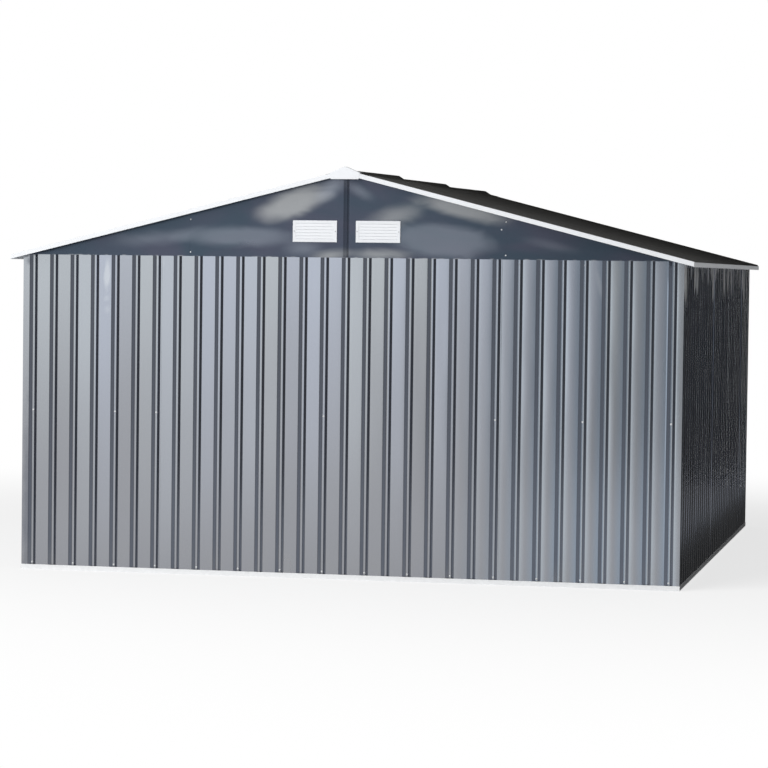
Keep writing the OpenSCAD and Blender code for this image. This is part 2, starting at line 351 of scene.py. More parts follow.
@dataclass(frozen=True)
class Layout:
    """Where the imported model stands, in metres."""

    half_w: float
    half_d: float
    base_z: float
    wall_h: float
    slope: float
    corner_top: float
    eave_x: float
    half_roof: float
    skin: float
    crest: float
    roof_skin: float
    pitch: float = 0.106
    rib_mouth: float = 0.040
    rib_floor: float = 0.012
    sheet: float = 0.001
    trim: float = 0.0012
    trim_h: float = 0.022
    seat: float = 0.0003
    count_slack: float = 0.001

    @classmethod
    def measured(cls) -> Layout:
        """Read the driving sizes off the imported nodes.

        Returns:
            The sizes that were read.
        """
        wall_low, wall_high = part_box("rear_wall")
        gable_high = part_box("rear_gable_right")[1]
        side_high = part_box("right_wall")[1]
        trim_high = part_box("eave_trim_right")[1]
        roof_low, roof_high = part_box("roof_right")
        slope = (gable_high.z - side_high.z) / wall_high.x
        eave_x = trim_high.x - cls.trim
        return cls(
            half_w=wall_high.x,
            half_d=-wall_low.y,
            base_z=wall_low.z,
            wall_h=wall_high.z,
            slope=slope,
            corner_top=side_high.z + cls.seat,
            eave_x=eave_x,
            half_roof=trim_high.y,
            skin=wall_high.y - wall_low.y,
            crest=roof_low.x,
            roof_skin=(roof_high.x - eave_x) * math.hypot(1.0, slope) / slope,
        )

    @property
    def lean(self) -> float:
        """How much longer the slope is than its level run."""
        return math.hypot(1.0, self.slope)

    def under(self, x: float) -> float:
        """Height of the roof sheet's underside at a level distance from the ridge."""
        return self.corner_top + (self.half_w - abs(x)) * self.slope

    def rib_places(self, length: float) -> list[float]:
        """Middles of the ribs on a sheet of the given length, from its start.

        Args:
            length: how long the sheet is.

        Returns:
            The ribs' places.
        """
        count = math.floor(length / self.pitch + self.count_slack)
        margin = (length - (count - 1) * self.pitch) / 2
        return [margin + i * self.pitch for i in range(count)]


# ---------------------------------------------------------------- finishes


class Run(Enum):
    """The axis along which a wall's ribs are counted."""

    ALONG_X = 0
    ALONG_Y = 1


@dataclass(frozen=True)
class Finish:
    """A named surface finish; each kind dresses a material's node tree."""

    name: str

    def dress(self, book: NodeBook) -> None:
        """Build the finish's nodes."""
        raise NotImplementedError

    def material(self) -> bpy.types.Material:
        """The finish as a Blender material, made once.

        Returns:
            The material.
        """
        found = bpy.data.materials.get(self.name)
        if found is None:
            found = bpy.data.materials.new(self.name)
            found.use_nodes = True
            self.dress(NodeBook(found.node_tree))
        return found


@dataclass(frozen=True)
class SlatePaint(Finish):
    """Glossy slate-grey paint on ribbed sheet steel: flats of uneven tone, with painted shade on the rib
    sides and bends, painted highlights and shadows, and painted streaks of light under the eave.
    """

    layout: Layout
    run: Run = Run.ALONG_X
    first_rib: float = 0.0
    tone: Triple = (0.470, 0.512, 0.600)
    warm: Triple = (0.490, 0.527, 0.552)
    low_tone: Triple = (0.322, 0.332, 0.360)
    shade: Triple = (0.112, 0.126, 0.160)
    crease_shade: Triple = (0.040, 0.045, 0.060)
    dust: Triple = (0.42, 0.42, 0.41)
    glare: Triple = (0.62, 0.66, 0.72)
    metallic: float = 0.93
    gloss: float = 0.17
    peel: float = 0.5
    eave_light_streaks: float = 0.0
    painted_streak_light: Triple = (0.62, 0.62, 0.61)
    fall_from: float | None = None
    fall_highlight: Triple = (0.550, 0.630, 0.710)
    fall_shade: Triple = (0.270, 0.345, 0.440)
    glares: tuple[DentAndPaintedLight, ...] = ()
    shadows: tuple[DentAndPaintedLight, ...] = ()
    side_share: float = 0.92
    side_soft: float = 0.8 * MM
    floor_soft: float = 1.0 * MM
    crease_share: float = 0.55
    crease_core: float = 0.6 * MM
    crease_reach: float = 2.4 * MM
    splash_top: float = 0.20
    dust_share: float = 0.25

    def dress(self, book: NodeBook) -> None:
        """Tones by flat and by height, painted shade on the rib sides and bends, painted highlights, shadows
        and streaks of light, dust by the ground and a fine peel.

        Args:
            book: the node tree to fill.
        """
        lay = self.layout
        axes = book.axes()
        height = axes[2]
        along = axes[self.run.value] - self.first_rib
        cell = along * (1.0 / lay.pitch)
        flat = cell.whole()
        drift = book.cloud((0.9, 0.9, 0.7), 1.0, 0.6, (4.0, 1.0, 7.0))
        level = height * (1.0 / lay.wall_h) + (drift - 0.5) * 0.5
        lift = (level + (book.lot(flat) - 0.5) * 0.35).band(0.05, 1.15)
        tint = book.lot(flat + 0.5).band(0.45, 0.95)
        upper = book.blend(tint * 0.8, self.tone, self.warm)
        colour = book.blend(lift, self.low_tone, upper)
        # Painted highlight on one side of each flat and painted shade on the other, growing towards +X.
        if self.fall_from is not None:
            across = cell - flat
            gain = axes[0].band(self.fall_from, self.fall_from + 0.8)
            colour = book.blend((1.0 - across.band(0.2, 0.5)) * gain * 0.45, colour, self.fall_highlight)
            colour = book.blend(across.band(0.35, 0.85) * gain * 0.7, colour, self.fall_shade)
        ragged = (book.cloud((22.0, 22.0, 9.0), 3.0, 0.8) - 0.5) * 0.9
        # Painted highlights (glares) and painted shadows, as soft patches.
        for dents_and_painted_light, tone in ((self.glares, self.glare), (self.shadows, self.shade)):
            for dent in dents_and_painted_light:
                colour = book.blend(book.patch(dent, ragged), colour, tone)
        # Painted shade on the rib sides, between the rib floor and the mouth.
        reach = along.bounce(lay.pitch / 2)
        mouth, floor = lay.rib_mouth / 2, lay.rib_floor / 2
        side = reach.band(floor - self.floor_soft, floor + self.floor_soft)
        side = side * (1.0 - reach.band(mouth - self.side_soft, mouth + self.side_soft))
        colour = book.blend(side * self.side_share, colour, self.shade)
        # Painted shade lines along the rib bends.
        for bend in (mouth, floor):
            crease_shade = 1.0 - (reach - bend).size().band(self.crease_core, self.crease_reach)
            colour = book.blend(crease_shade * self.crease_share, colour, self.crease_shade)
        splash = (1.0 - height.band(0.02, self.splash_top)) * book.cloud((9.0, 9.0, 3.0), 2.0).band(0.4, 0.85)
        colour = book.blend(splash * self.dust_share, colour, self.dust)
        rough = self.gloss + 0.08 * book.cloud((3.0, 3.0, 1.2), 3.0, 0.5) + splash * 0.12
        metal: Wire | float = self.metallic
        # Painted streaks of light hanging from the eave, drawn as a paler, duller, less metallic coat.
        if self.eave_light_streaks > 0.0:
            length = book.cloud((13.0, 9.0, 0.02), 1.0, 0.0, (3.0, 5.0, 0.0)).band(0.30, 0.72) * 0.20
            run = (height + length).band(lay.wall_h - 0.06, lay.wall_h + 0.02)
            streak = book.cloud((38.0, 26.0, 0.5), 1.5, 0.25).band(0.44, 0.56)
            amount = streak * run * self.eave_light_streaks
            colour = book.blend(amount, colour, self.painted_streak_light)
            rough = rough + amount * 0.5
            metal = self.metallic - amount * 0.9
        peel = book.cloud(even(420.0), 1.0) * 0.25 + book.cloud((6.0, 6.0, 2.0), 1.0, 0.5)
        book.surface(metal, colour, rough, book.bump(peel, 0.25 * MM, self.peel))


@dataclass(frozen=True)
class GablePaint(Finish):
    """The same paint on the wide gable sheets, which buckle; its tone is painted darker as a dark reflection,
    and pale, soft-edged patches are painted on as reflections.
    """

    seam: float
    dents_and_painted_light: tuple[DentAndPaintedLight, ...] = ()
    tone: Triple = (0.058, 0.084, 0.118)
    violet: Triple = (0.080, 0.090, 0.130)
    pale: Triple = (0.37, 0.385, 0.40)
    cool: Triple = (0.36, 0.40, 0.47)
    metallic: float = 0.80
    gloss: float = 0.20
    seam_highlight: Triple = (0.50, 0.52, 0.54)
    pale_from: float = 0.5

    def dress(self, book: NodeBook) -> None:
        """Dark slate painted as a dark reflection, soft pale patches painted as reflections over the buckles,
        and a painted highlight along the seam.

        Args:
            book: the node tree to fill.
        """
        drift = book.cloud((2.2, 2.2, 5.0), 1.5, 1.0, (2.3, 0.0, 0.4))
        fine = book.cloud((5.0, 5.0, 10.0), 2.0, 1.2, (0.0, 3.0, 1.0))
        # Dark base tone, painted darker than the walls' as a dark reflection, drifting towards violet at
        # random.
        colour = book.blend(drift.band(0.35, 0.7), self.tone, self.violet)
        ragged = (book.cloud((6.0, 6.0, 13.0), 1.0, 1.0, (1.0, 0.0, 3.0)) - 0.5) * 0.4
        # Painted reflections: soft pale patches over the buckles.
        for dent in self.dents_and_painted_light:
            tone = self.pale if dent.strength > self.pale_from else self.cool
            colour = book.blend(book.patch(dent, ragged), colour, tone)
        height = book.axes()[2]
        # Painted highlight along the seam at the gable's foot, broken up by noise.
        highlight_breaks = book.cloud(even(30.0), 2.0).band(0.5, 0.7)
        edge = (1.0 - height.band(self.seam + 1.0 * MM, self.seam + 5.0 * MM)) * highlight_breaks
        colour = book.blend(edge * 0.6, colour, self.seam_highlight)
        peel = book.cloud(even(420.0), 1.0) * 0.2 + drift
        book.surface(self.metallic, colour, self.gloss + 0.10 * fine, book.bump(peel, 0.5 * MM, 0.5))


@dataclass(frozen=True)
class RoofPaintWithPaintedShade(Finish):
    """Dark paint on the roof sheets, made near-black as painted shade, dulled by patches of dust."""

    tone: Triple = (0.013, 0.013, 0.012)
    dust: Triple = (0.034, 0.032, 0.026)

    def dress(self, book: NodeBook) -> None:
        """Near-black as painted shade, with a brownish bloom of dust and rain marks down the slope.

        Args:
            book: the node tree to fill.
        """
        bloom = book.cloud((1.6, 5.0, 1.6), 4.0, 0.8).band(0.45, 0.8)
        runs = book.cloud((0.8, 40.0, 0.8), 2.0).band(0.5, 0.8)
        # Near-black tone painted as shade, with a dust bloom and rain marks.
        colour = book.blend(bloom * 0.6 + runs * 0.25, self.tone, self.dust)
        peel = book.cloud(even(300.0), 2.0)
        normal = book.bump(peel, 0.2 * MM, 0.4)
        book.surface(0.35, colour, 0.32 + bloom * 0.18, normal, Specular_IOR_Level=0.2)


@dataclass(frozen=True)
class WhitePaint(Finish):
    """Satin white paint on folded trims, a little grey where dust settles."""

    tone: Triple = (0.86, 0.88, 0.91)
    grime: Triple = (0.62, 0.62, 0.61)
    grey: float = 0.25

    def dress(self, book: NodeBook) -> None:
        """White with faint dull marks and a fine peel.

        Args:
            book: the node tree to fill.
        """
        marks = book.cloud((6.0, 6.0, 14.0), 5.0, 0.5).band(0.55, 0.85)
        colour = book.blend(marks * self.grey, self.tone, self.grime)
        peel = book.cloud(even(260.0), 2.0)
        book.surface(0.0, colour, 0.38 + marks * 0.2, book.bump(peel, 0.2 * MM, 0.4), IOR=1.45)


@dataclass(frozen=True)
class VentPlastic(Finish):
    """White moulded plastic of the louvred vents."""

    tone: Triple = (0.84, 0.86, 0.89)

    def dress(self, book: NodeBook) -> None:
        """Nearly plain white, with the faint mottle of a moulding.

        Args:
            book: the node tree to fill.
        """
        mottle = book.cloud(even(35.0), 3.0)
        colour = book.blend(mottle * 0.35, self.tone, tuple(c * 0.92 for c in self.tone))
        grain = book.cloud(even(900.0), 2.0)
        book.surface(0.0, colour, 0.42 + mottle * 0.15, book.bump(grain, 0.08 * MM, 0.5), IOR=1.47)


@dataclass(frozen=True)
class ZincCoat(Finish):
    """Zinc-coated steel with a soft spangle."""

    tone: Triple = (0.80, 0.81, 0.82)
    dark: Triple = (0.60, 0.61, 0.63)
    metallic: float = 0.45

    def dress(self, book: NodeBook) -> None:
        """Flat crystal grains of slightly different greys under a dull white bloom.

        Args:
            book: the node tree to fill.
        """
        cells = {"Vector": book.place(even(70.0)), "Scale": 1.0}
        grains = book.wire("ShaderNodeTexVoronoi", {"feature": "F1"}, cells, "Color")
        spangle = book.wire("ShaderNodeSeparateColor", None, {0: grains})
        bloom = book.cloud(even(8.0), 4.0)
        colour = book.blend(spangle * 0.6 + bloom * 0.3, self.tone, self.dark)
        book.surface(self.metallic, colour, 0.34 + spangle * 0.12 + bloom * 0.12)


@dataclass(frozen=True)
class ScrewPaint(Finish):
    """Screw heads on pale washers."""

    tone: Triple = (0.86, 0.87, 0.88)

    def dress(self, book: NodeBook) -> None:
        """One tone with tiny dull marks.

        Args:
            book: the node tree to fill.
        """
        marks = book.cloud(even(400.0), 2.0)
        colour = book.blend(marks * 0.5, self.tone, tuple(c * 0.75 for c in self.tone))
        book.surface(0.10, colour, 0.32 + marks * 0.2)


@dataclass(frozen=True)
class HandlePlastic(Finish):
    """Black moulded plastic of the door handles."""

    tone: Triple = (0.022, 0.023, 0.026)
    scuffed: Triple = (0.10, 0.10, 0.10)

    def dress(self, book: NodeBook) -> None:
        """Grained black with scuffed edges.

        Args:
            book: the node tree to fill.
        """
        grain = book.cloud(even(700.0), 2.0)
        scuff = book.cloud((60.0, 60.0, 30.0), 4.0).band(0.5, 0.85)
        colour = book.blend(scuff * 0.3, self.tone, self.scuffed)
        book.surface(0.0, colour, 0.40 + scuff * 0.2, book.bump(grain, 0.1 * MM, 0.6))


# ---------------------------------------------------------------- shared making


class Shop:
    """Turns finished bmeshes into dressed pieces that ride the frame."""

    def __init__(self) -> None:
        """Count the pieces made."""
        self.made = 0

    def finish(
        self, bm: Shape, name: str, finish: Finish, slot: str, stands_for: Iterable[str] = ()
    ) -> bpy.types.Object:
        """Make an object from a bmesh, dress it and tie it to the frame.

        Args:
            bm: the piece's shape, in place.
            name: the piece's name.
            finish: what its surface is.
            slot: the record's material slot; not used.
            stands_for: CAD nodes that it hides.

        Returns:
            The new object.
        """
        bm.normal_update()
        for edge in bm.edges:
            if len(edge.link_faces) == 2:
                edge.smooth = edge.calc_face_angle(0.0) < SHARP
        for face in bm.faces:
            face.smooth = True
        mesh = bpy.data.meshes.new(name)
        bm.to_mesh(mesh)
        bm.free()
        piece = bpy.data.objects.new(name, mesh)
        bpy.context.scene.collection.objects.link(piece)
        piece.data.materials.append(finish.material())
        keeper = piece.modifiers.new("even_shading", "WEIGHTED_NORMAL")
        keeper.keep_sharp = True
        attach(piece, BODY)
        nodes = list(stands_for)
        if nodes:
            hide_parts(*nodes)
        self.made += 1
        LOG.info("%s: %d faces, stands for %s", name, len(mesh.polygons), ", ".join(nodes) or "nothing")
        return piece


def move(bm: Shape, verts: Iterable[bmesh.types.BMVert], vec: Triple) -> None:
    """Shift some corners of a bmesh."""
    bmesh.ops.translate(bm, verts=list(verts), vec=vec)


def turn(bm: Shape, matrix: Matrix) -> None:
    """Move a whole bmesh into place."""
    bmesh.ops.transform(bm, matrix=matrix, verts=bm.verts[:])


def flip_x(bm: Shape) -> None:
    """Turn a right-hand piece into a left-hand one, its faces still outward."""
    turn(bm, Matrix.Diagonal((-1.0, 1.0, 1.0, 1.0)))
    bmesh.ops.reverse_faces(bm, faces=bm.faces[:])


def settle(bm: Shape, side: int, front: bool) -> None:
    """Put a piece made for the rear right into its own quarter of the shed.

    Args:
        bm: the piece.
        side: 1 for the right and -1 for the left, as seen from the rear.
        front: whether it belongs to the door end.
    """
    if (side < 0) != front:
        flip_x(bm)
    if front:
        turn(bm, HALF_TURN)


def outline(bm: Shape, points: Iterable[Triple]) -> list[bmesh.types.BMEdge]:
    """Lay a few corners in a row and join them with edges."""
    verts = [bm.verts.new(p) for p in points]
    return [bm.edges.new(pair) for pair in zip(verts, verts[1:])]


def sweep(bm: Shape, edges: list[bmesh.types.BMEdge], vec: Triple) -> None:
    """Extrude a row of edges along a vector."""
    made = bmesh.ops.extrude_edge_only(bm, edges=edges)["geom"]
    move(bm, [g for g in made if isinstance(g, bmesh.types.BMVert)], vec)


def bevel(bm: Shape, edges: Iterable[bmesh.types.BMEdge], reach: float, segments: int) -> None:
    """Round some edges.

    Args:
        bm: the shape that is being made.
        edges: the edges to round.
        reach: how far from the edge the rounding starts.
        segments: how many faces make the rounding.
    """
    bmesh.ops.bevel(
        bm, geom=list(edges), offset=reach, offset_type="OFFSET", affect="EDGES",
        segments=segments, profile=0.5, material=-1, clamp_overlap=True,
    )


def round_folds(bm: Shape, reach: float, segments: int = 2, least: float = 12.0) -> None:
    """Round every fold that is sharper than some degrees.

    Args:
        bm: the shape that is being made.
        reach: how far from the edge the rounding starts.
        segments: how many faces make the rounding.
        least: the smallest fold that is rounded, in degrees.
    """
    bm.normal_update()
    limit = math.radians(least)
    folds = [e for e in bm.edges if len(e.link_faces) == 2 and e.calc_face_angle(0.0) > limit]
    bevel(bm, folds, reach, segments)


def face_towards(bm: Shape, direction: Triple) -> None:
    """Turn the faces of an open sheet so that most of it looks one way.

    Args:
        bm: the shape that is being made.
        direction: where most of the faces should look.
    """
    bm.normal_update()
    total = sum((f.normal * f.calc_area() for f in bm.faces), Vector())
    if total.dot(Vector(direction)) < 0.0:
        bmesh.ops.reverse_faces(bm, faces=bm.faces[:])
        bm.normal_update()


def thicken(bm: Shape, thickness: float) -> None:
    """Give an open sheet its thickness on the side away from its faces.

    Args:
        bm: the shape that is being made.
        thickness: how thick the sheet gets.
    """
    bm.normal_update()
    bmesh.ops.solidify(bm, geom=bm.faces[:], thickness=thickness)
    bm.normal_update()


def stretch(edge: bmesh.types.BMEdge, axis: int) -> float:
    """How far an edge reaches along an axis."""
    return abs(edge.verts[0].co[axis] - edge.verts[1].co[axis])


def divide(bm: Shape, edges: Iterable[bmesh.types.BMEdge], cuts: int) -> None:
    """Cut edges, and the faces between them, into equal parts."""
    bmesh.ops.subdivide_edges(bm, edges=list(edges), cuts=cuts, use_grid_fill=True)


def bar(bm: Shape, low: Triple, high: Triple, edge: float = 0.0, segments: int = 2) -> None:
    """Add a bar between two corners, with its edges rounded.

    Args:
        bm: the shape that is being made.
        low: its lowest corner.
        high: its highest corner.
        edge: how far its edges are rounded.
        segments: how many faces make the rounding.
    """
    a, b = Vector(low), Vector(high)
    matrix = Matrix.Translation((a + b) / 2) @ Matrix.Diagonal((*(b - a), 1.0))
    made = bmesh.ops.create_cube(bm, size=1.0, matrix=matrix)["verts"]
    if edge > 0.0:
        bevel(bm, {e for v in made for e in v.link_edges}, edge, segments)


def merge_in(whole: Shape, part: Shape) -> None:
    """Move a finished part into a larger bmesh.

    Args:
        whole: the shape that takes the part.
        part: the part, which is freed.
    """
    mesh = bpy.data.meshes.new("part")
    part.to_mesh(mesh)
    part.free()
    whole.from_mesh(mesh)
    bpy.data.meshes.remove(mesh)


class Stand:
    """Where a sheet made along +X with its face to -Y stands on the shed."""

    def __init__(self, lay: Layout) -> None:
        """Keep the layout."""
        self.lay = lay

    def rear(self) -> Matrix:
        """Against the rear face."""
        return Matrix.Translation((-self.lay.half_w, -self.lay.half_d, 0.0))

    def front(self) -> Matrix:
        """Against the front face."""
        return HALF_TURN @ self.rear()

    def right(self) -> Matrix:
        """Against the right side."""
        corner = Matrix.Translation((self.lay.half_w, -self.lay.half_d, 0.0))
        return corner @ Matrix.Rotation(math.pi / 2, 4, "Z")

    def left(self) -> Matrix:
        """Against the left side."""
        return HALF_TURN @ self.right()

    def roof(self, side: int) -> Matrix:
        """On a slope, its foot at the eave; side is 1 for right and -1 for left.

        Args:
            side: 1 for the right and -1 for the left.

        Returns:
            Where a sheet of the slope stands.
        """
        lay = self.lay
        up = Vector((-side, 0.0, lay.slope)).normalized()
        out = Vector((side * lay.slope, 0.0, 1.0)).normalized()
        turned = Matrix((Vector((0.0, side, 0.0)), -out, up)).transposed().to_4x4()
        foot = Vector((side * lay.eave_x, -side * lay.half_roof, lay.under(lay.eave_x)))
        return Matrix.Translation(foot) @ turned


# ---------------------------------------------------------------- ribbed sheets


@dataclass
class Ripple:
    """How a thin sheet buckles: slow waves, leaning flats and a slight bow."""

    seed: float = 0.0
    wave: float = 0.35 * MM
    lean: float = 0.012
    bow: float = 0.25 * MM
    bow_gain: Callable[[float], float] = field(default=lambda x: 1.0)

    def shift(self, x: float, z: float, flat: tuple[float, float]) -> float:
        """How far a point of a flat moves out of the sheet.

        Args:
            x: the point's place along the sheet.
            z: the point's place up the sheet.
            flat: the start and end of the flat that it lies on.

        Returns:
            The move towards the sheet's back.
        """
        low, high = flat
        middle, half = (low + high) / 2, (high - low) / 2
        u = max(-1.0, min(1.0, (x - middle) / half))
        edge = 1.0 - u * u
        lean = noise.noise(Vector((middle * 17.0, z * 0.9, self.seed))) * self.lean * (x - middle)
        wave = noise.noise(Vector((x * 9.0, z * 2.6, self.seed + 5.0))) * self.wave * 2.0
        dent = noise.noise(Vector((middle * 5.0, z * 6.0, self.seed + 11.0))) * self.wave
        bow = -self.bow * self.bow_gain(middle) * edge
        return lean + (wave + dent) * edge + bow


@dataclass
class RibbedSheet:
    """A pressed sheet along +X whose face looks towards -Y, with upright ribs.

    A positive depth presses the ribs back and a negative one makes them stand out.
    """

    lay: Layout
    start: float
    end: float
    bottom: float
    top: float
    ribs: list[float]
    depth: float
    set_back: float = 0.0
    bend: float = 2.2 * MM
    rows: int = 20
    columns: int = 4
    ripple: Ripple | None = None
    return_start: float = 0.0
    return_end: float = 0.0
    foot_fade: float = 0.1
    head_fade: float = 0.06

    def build(self) -> Shape:
        """The sheet's shape, with rounded bends, buckles and its thickness.

        Returns:
            The finished sheet.
        """
        bm = bmesh.new()
        sweep(bm, outline(bm, self._line()), (0.0, 0.0, self.top - self.bottom))
        round_folds(bm, self.bend)
        level = [e for e in bm.edges if stretch(e, Z) < EPS]
        divide(bm, [e for e in level if e.calc_length() > self.lay.rib_mouth * 0.6], self.columns)
        divide(bm, [e for e in bm.edges if stretch(e, Z) > EPS], self.rows)
        if self.ripple:
            self._buckle(bm)
        move(bm, bm.verts, (0.0, self.set_back, 0.0))
        face_towards(bm, (0.0, -1.0, 0.0))
        thicken(bm, self.lay.sheet)
        return bm

    def _line(self) -> list[Triple]:
        """The sheet's outline along its foot.

        Returns:
            The outline's points.
        """
        mouth, floor = self.lay.rib_mouth / 2, self.lay.rib_floor / 2
        points = [(self.start, 0.0, self.bottom)]
        if self.return_start:
            points.insert(0, (self.start, self.return_start, self.bottom))
        for rib in self.ribs:
            for reach, deep in ((-mouth, 0.0), (-floor, self.depth), (floor, self.depth), (mouth, 0.0)):
                if self.start < rib + reach < self.end:
                    points.append((rib + reach, deep, self.bottom))
        points.append((self.end, points[-1][1], self.bottom))
        if self.return_end:
            points.append((self.end, self.return_end, self.bottom))
        return points

    def _buckle(self, bm: Shape) -> None:
        """Shift the flats in and out, fading towards the sheet's foot and head.

        Args:
            bm: the ribbed sheet.
        """
        half = self.lay.rib_mouth / 2
        stops = [self.start - half, *self.ribs, self.end + half]
        flats = [(a + half, b - half) for a, b in zip(stops, stops[1:]) if b - a > self.lay.rib_mouth * 1.1]
        for v in bm.verts:
            for flat in flats:
                if flat[0] < v.co.x < flat[1]:
                    above, below = v.co.z - self.bottom, self.top - v.co.z
                    fade = share(above / self.foot_fade, below / self.head_fade)
                    v.co.y += self.ripple.shift(v.co.x, v.co.z, flat) * fade
                    break


@dataclass
class RibbedRun:
    """A wall or a roof slope made of ribbed sheets that lap over each other at a rib."""

    lay: Layout
    name: str
    stand: Matrix
    finish: Finish
    slot: str
    node: str
    start: float
    end: float
    bottom: float
    top: float
    depth: float
    seed: float
    set_back: float = 0.0
    first_sheet: int = 7
    sheet_ribs: int = 8
    over_first: bool = True
    lap: float = 7 * MM
    under_lap: float = 1.1 * MM
    rows: int = 20
    ripple: Ripple = field(default_factory=Ripple)
    return_start: float = 0.0
    return_end: float = 0.0
    seed_step: float = 3.7

    def rib_places(self) -> list[float]:
        """Middles of the run's ribs, along its own length."""
        return [self.start + r for r in self.lay.rib_places(self.end - self.start)]

    def build(self, shop: Shop) -> None:
        """Make the run's sheets as one piece.

        Args:
            shop: makes the pieces.
        """
        ribs = self.rib_places()
        laps = ribs[self.first_sheet - 1::self.sheet_ribs]
        stops = [self.start, *laps, self.end]
        whole = bmesh.new()
        mouth = self.lay.rib_mouth / 2
        last = len(stops) - 2
        for i, (a, b) in enumerate(zip(stops, stops[1:])):
            beneath = (i % 2 == 1) if self.over_first else (i % 2 == 0)
            reach = -(mouth + 1 * MM) if beneath else mouth + self.lap
            low = a if i == 0 else a - reach
            high = b if i == last else b + reach
            self.ripple.seed = self.seed + i * self.seed_step
            sunk = self.under_lap if beneath else 0.0
            sheet = RibbedSheet(
                self.lay, low, high, self.bottom, self.top, [r for r in ribs if low < r < high],
                self.depth - (sunk if self.depth > 0.0 else 0.0),
                set_back=self.set_back + sunk, rows=self.rows, ripple=self.ripple,
                return_start=self.return_start if i == 0 else 0.0,
                return_end=self.return_end if i == last else 0.0,
            )
            merge_in(whole, sheet.build())
        turn(whole, self.stand)
        shop.finish(whole, self.name, self.finish, self.slot, [self.node])


# ---------------------------------------------------------------- gables and vents


@dataclass
class Vent:
    """A louvred plastic vent, made on the right half of the rear gable."""

    lay: Layout
    finish: Finish
    screw: Finish
    middle_x: float
    middle_z: float
    width: float
    height: float
    proud: float
    rim: float = 15 * MM
    slats: int = 5
    slat: float = 1.3 * MM
    screw_inset: float = 7 * MM
    washer: float = 3.2 * MM
    screw_h: float = 1.4 * MM
    rounding: float = 1.3 * MM

    @classmethod
    def measured(cls, lay: Layout, finish: Finish, screw: Finish) -> Vent:
        """Read the vent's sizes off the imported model.

        Args:
            lay: the layout.
            finish: the vent's finish.
            screw: the screws' finish.

        Returns:
            The sizes that were read.
        """
        low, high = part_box("rear_vent_right")
        middle = (low + high) / 2
        return cls(lay, finish, screw, middle.x, middle.z, high.x - low.x, high.z - low.z, high.y - low.y)

    @property
    def hole(self) -> tuple[float, float]:
        """Width and height of the hole in the gable."""
        return self.width - 2 * self.rim, self.height - 2 * self.rim

    def build(self, shop: Shop, side: int, front: bool) -> None:
        """Make the vent and its two screws in their own place.

        Args:
            shop: makes the pieces.
            side: 1 for the right and -1 for the left.
            front: whether it belongs to the door end.
        """
        label = f"{end_name(front)}_vent_{side_name(side)}"
        bm = bmesh.new()
        self._rim(bm)
        self._slats(bm)
        settle(bm, side, front)
        shop.finish(bm, f"{label}_louvre", self.finish, "white_vent", [label])
        bm = bmesh.new()
        face = -self.lay.half_d - self.proud + 0.3 * MM
        for reach in (-1.0, 1.0):
            spot = (self.middle_x + reach * (self.width / 2 - self.screw_inset), face, self.middle_z)
            add_screw(bm, Matrix.Translation(spot), self.washer, self.screw_h)
        settle(bm, side, front)
        shop.finish(bm, f"{label}_screws", self.screw, "galvanised")

    def _rim(self, bm: Shape) -> None:
        """The rim around the hole, its front edges rounded.

        Args:
            bm: the shape that is being made.
        """
        face, back = -self.lay.half_d - self.proud, -self.lay.half_d
        half_w, half_h = self.width / 2, self.height / 2
        bar(bm, (self.middle_x - half_w, face, self.middle_z - half_h),
            (self.middle_x + half_w, back, self.middle_z + half_h))
        bm.normal_update()
        ends = [f for f in bm.faces if abs(f.normal.y) > 0.9]
        bmesh.ops.inset_individual(bm, faces=ends, thickness=self.rim, depth=0.0, use_even_offset=True)
        loops = [e for f in ends for e in f.edges]
        bmesh.ops.delete(bm, geom=ends, context="FACES_ONLY")
        bmesh.ops.bridge_loops(bm, edges=loops)
        bmesh.ops.recalc_face_normals(bm, faces=bm.faces[:])
        fronts = [e for e in bm.edges if all(v.co.y < face + EPS for v in e.verts)]
        bevel(bm, [e for e in fronts if e.calc_face_angle(0.0) > SHARP], self.rounding, 2)

    def _slats(self, bm: Shape) -> None:
        """Sloping louvres that overlap from one end of the hole to the other.

        Args:
            bm: the shape that is being made.
        """
        width, height = self.hole
        face = -self.lay.half_d - self.proud
        step = height / self.slats
        left = self.middle_x - width / 2 - 0.5 * MM
        for i in range(self.slats):
            z = self.middle_z - height / 2 + i * step
            part = bmesh.new()
            points = [
                (left, face + 2.0 * MM, z + 0.4 * MM), (left, face + 0.5 * MM, z + 0.8 * MM),
                (left, face + 0.8 * MM, z + 3.4 * MM), (left, face + 2.6 * MM, z + step + 0.4 * MM),
            ]
            sweep(part, outline(part, points), (width + 1.0 * MM, 0.0, 0.0))
            round_folds(part, 0.5 * MM)
            face_towards(part, (0.0, -1.0, 0.2))
            thicken(part, self.slat)
            merge_in(bm, part)


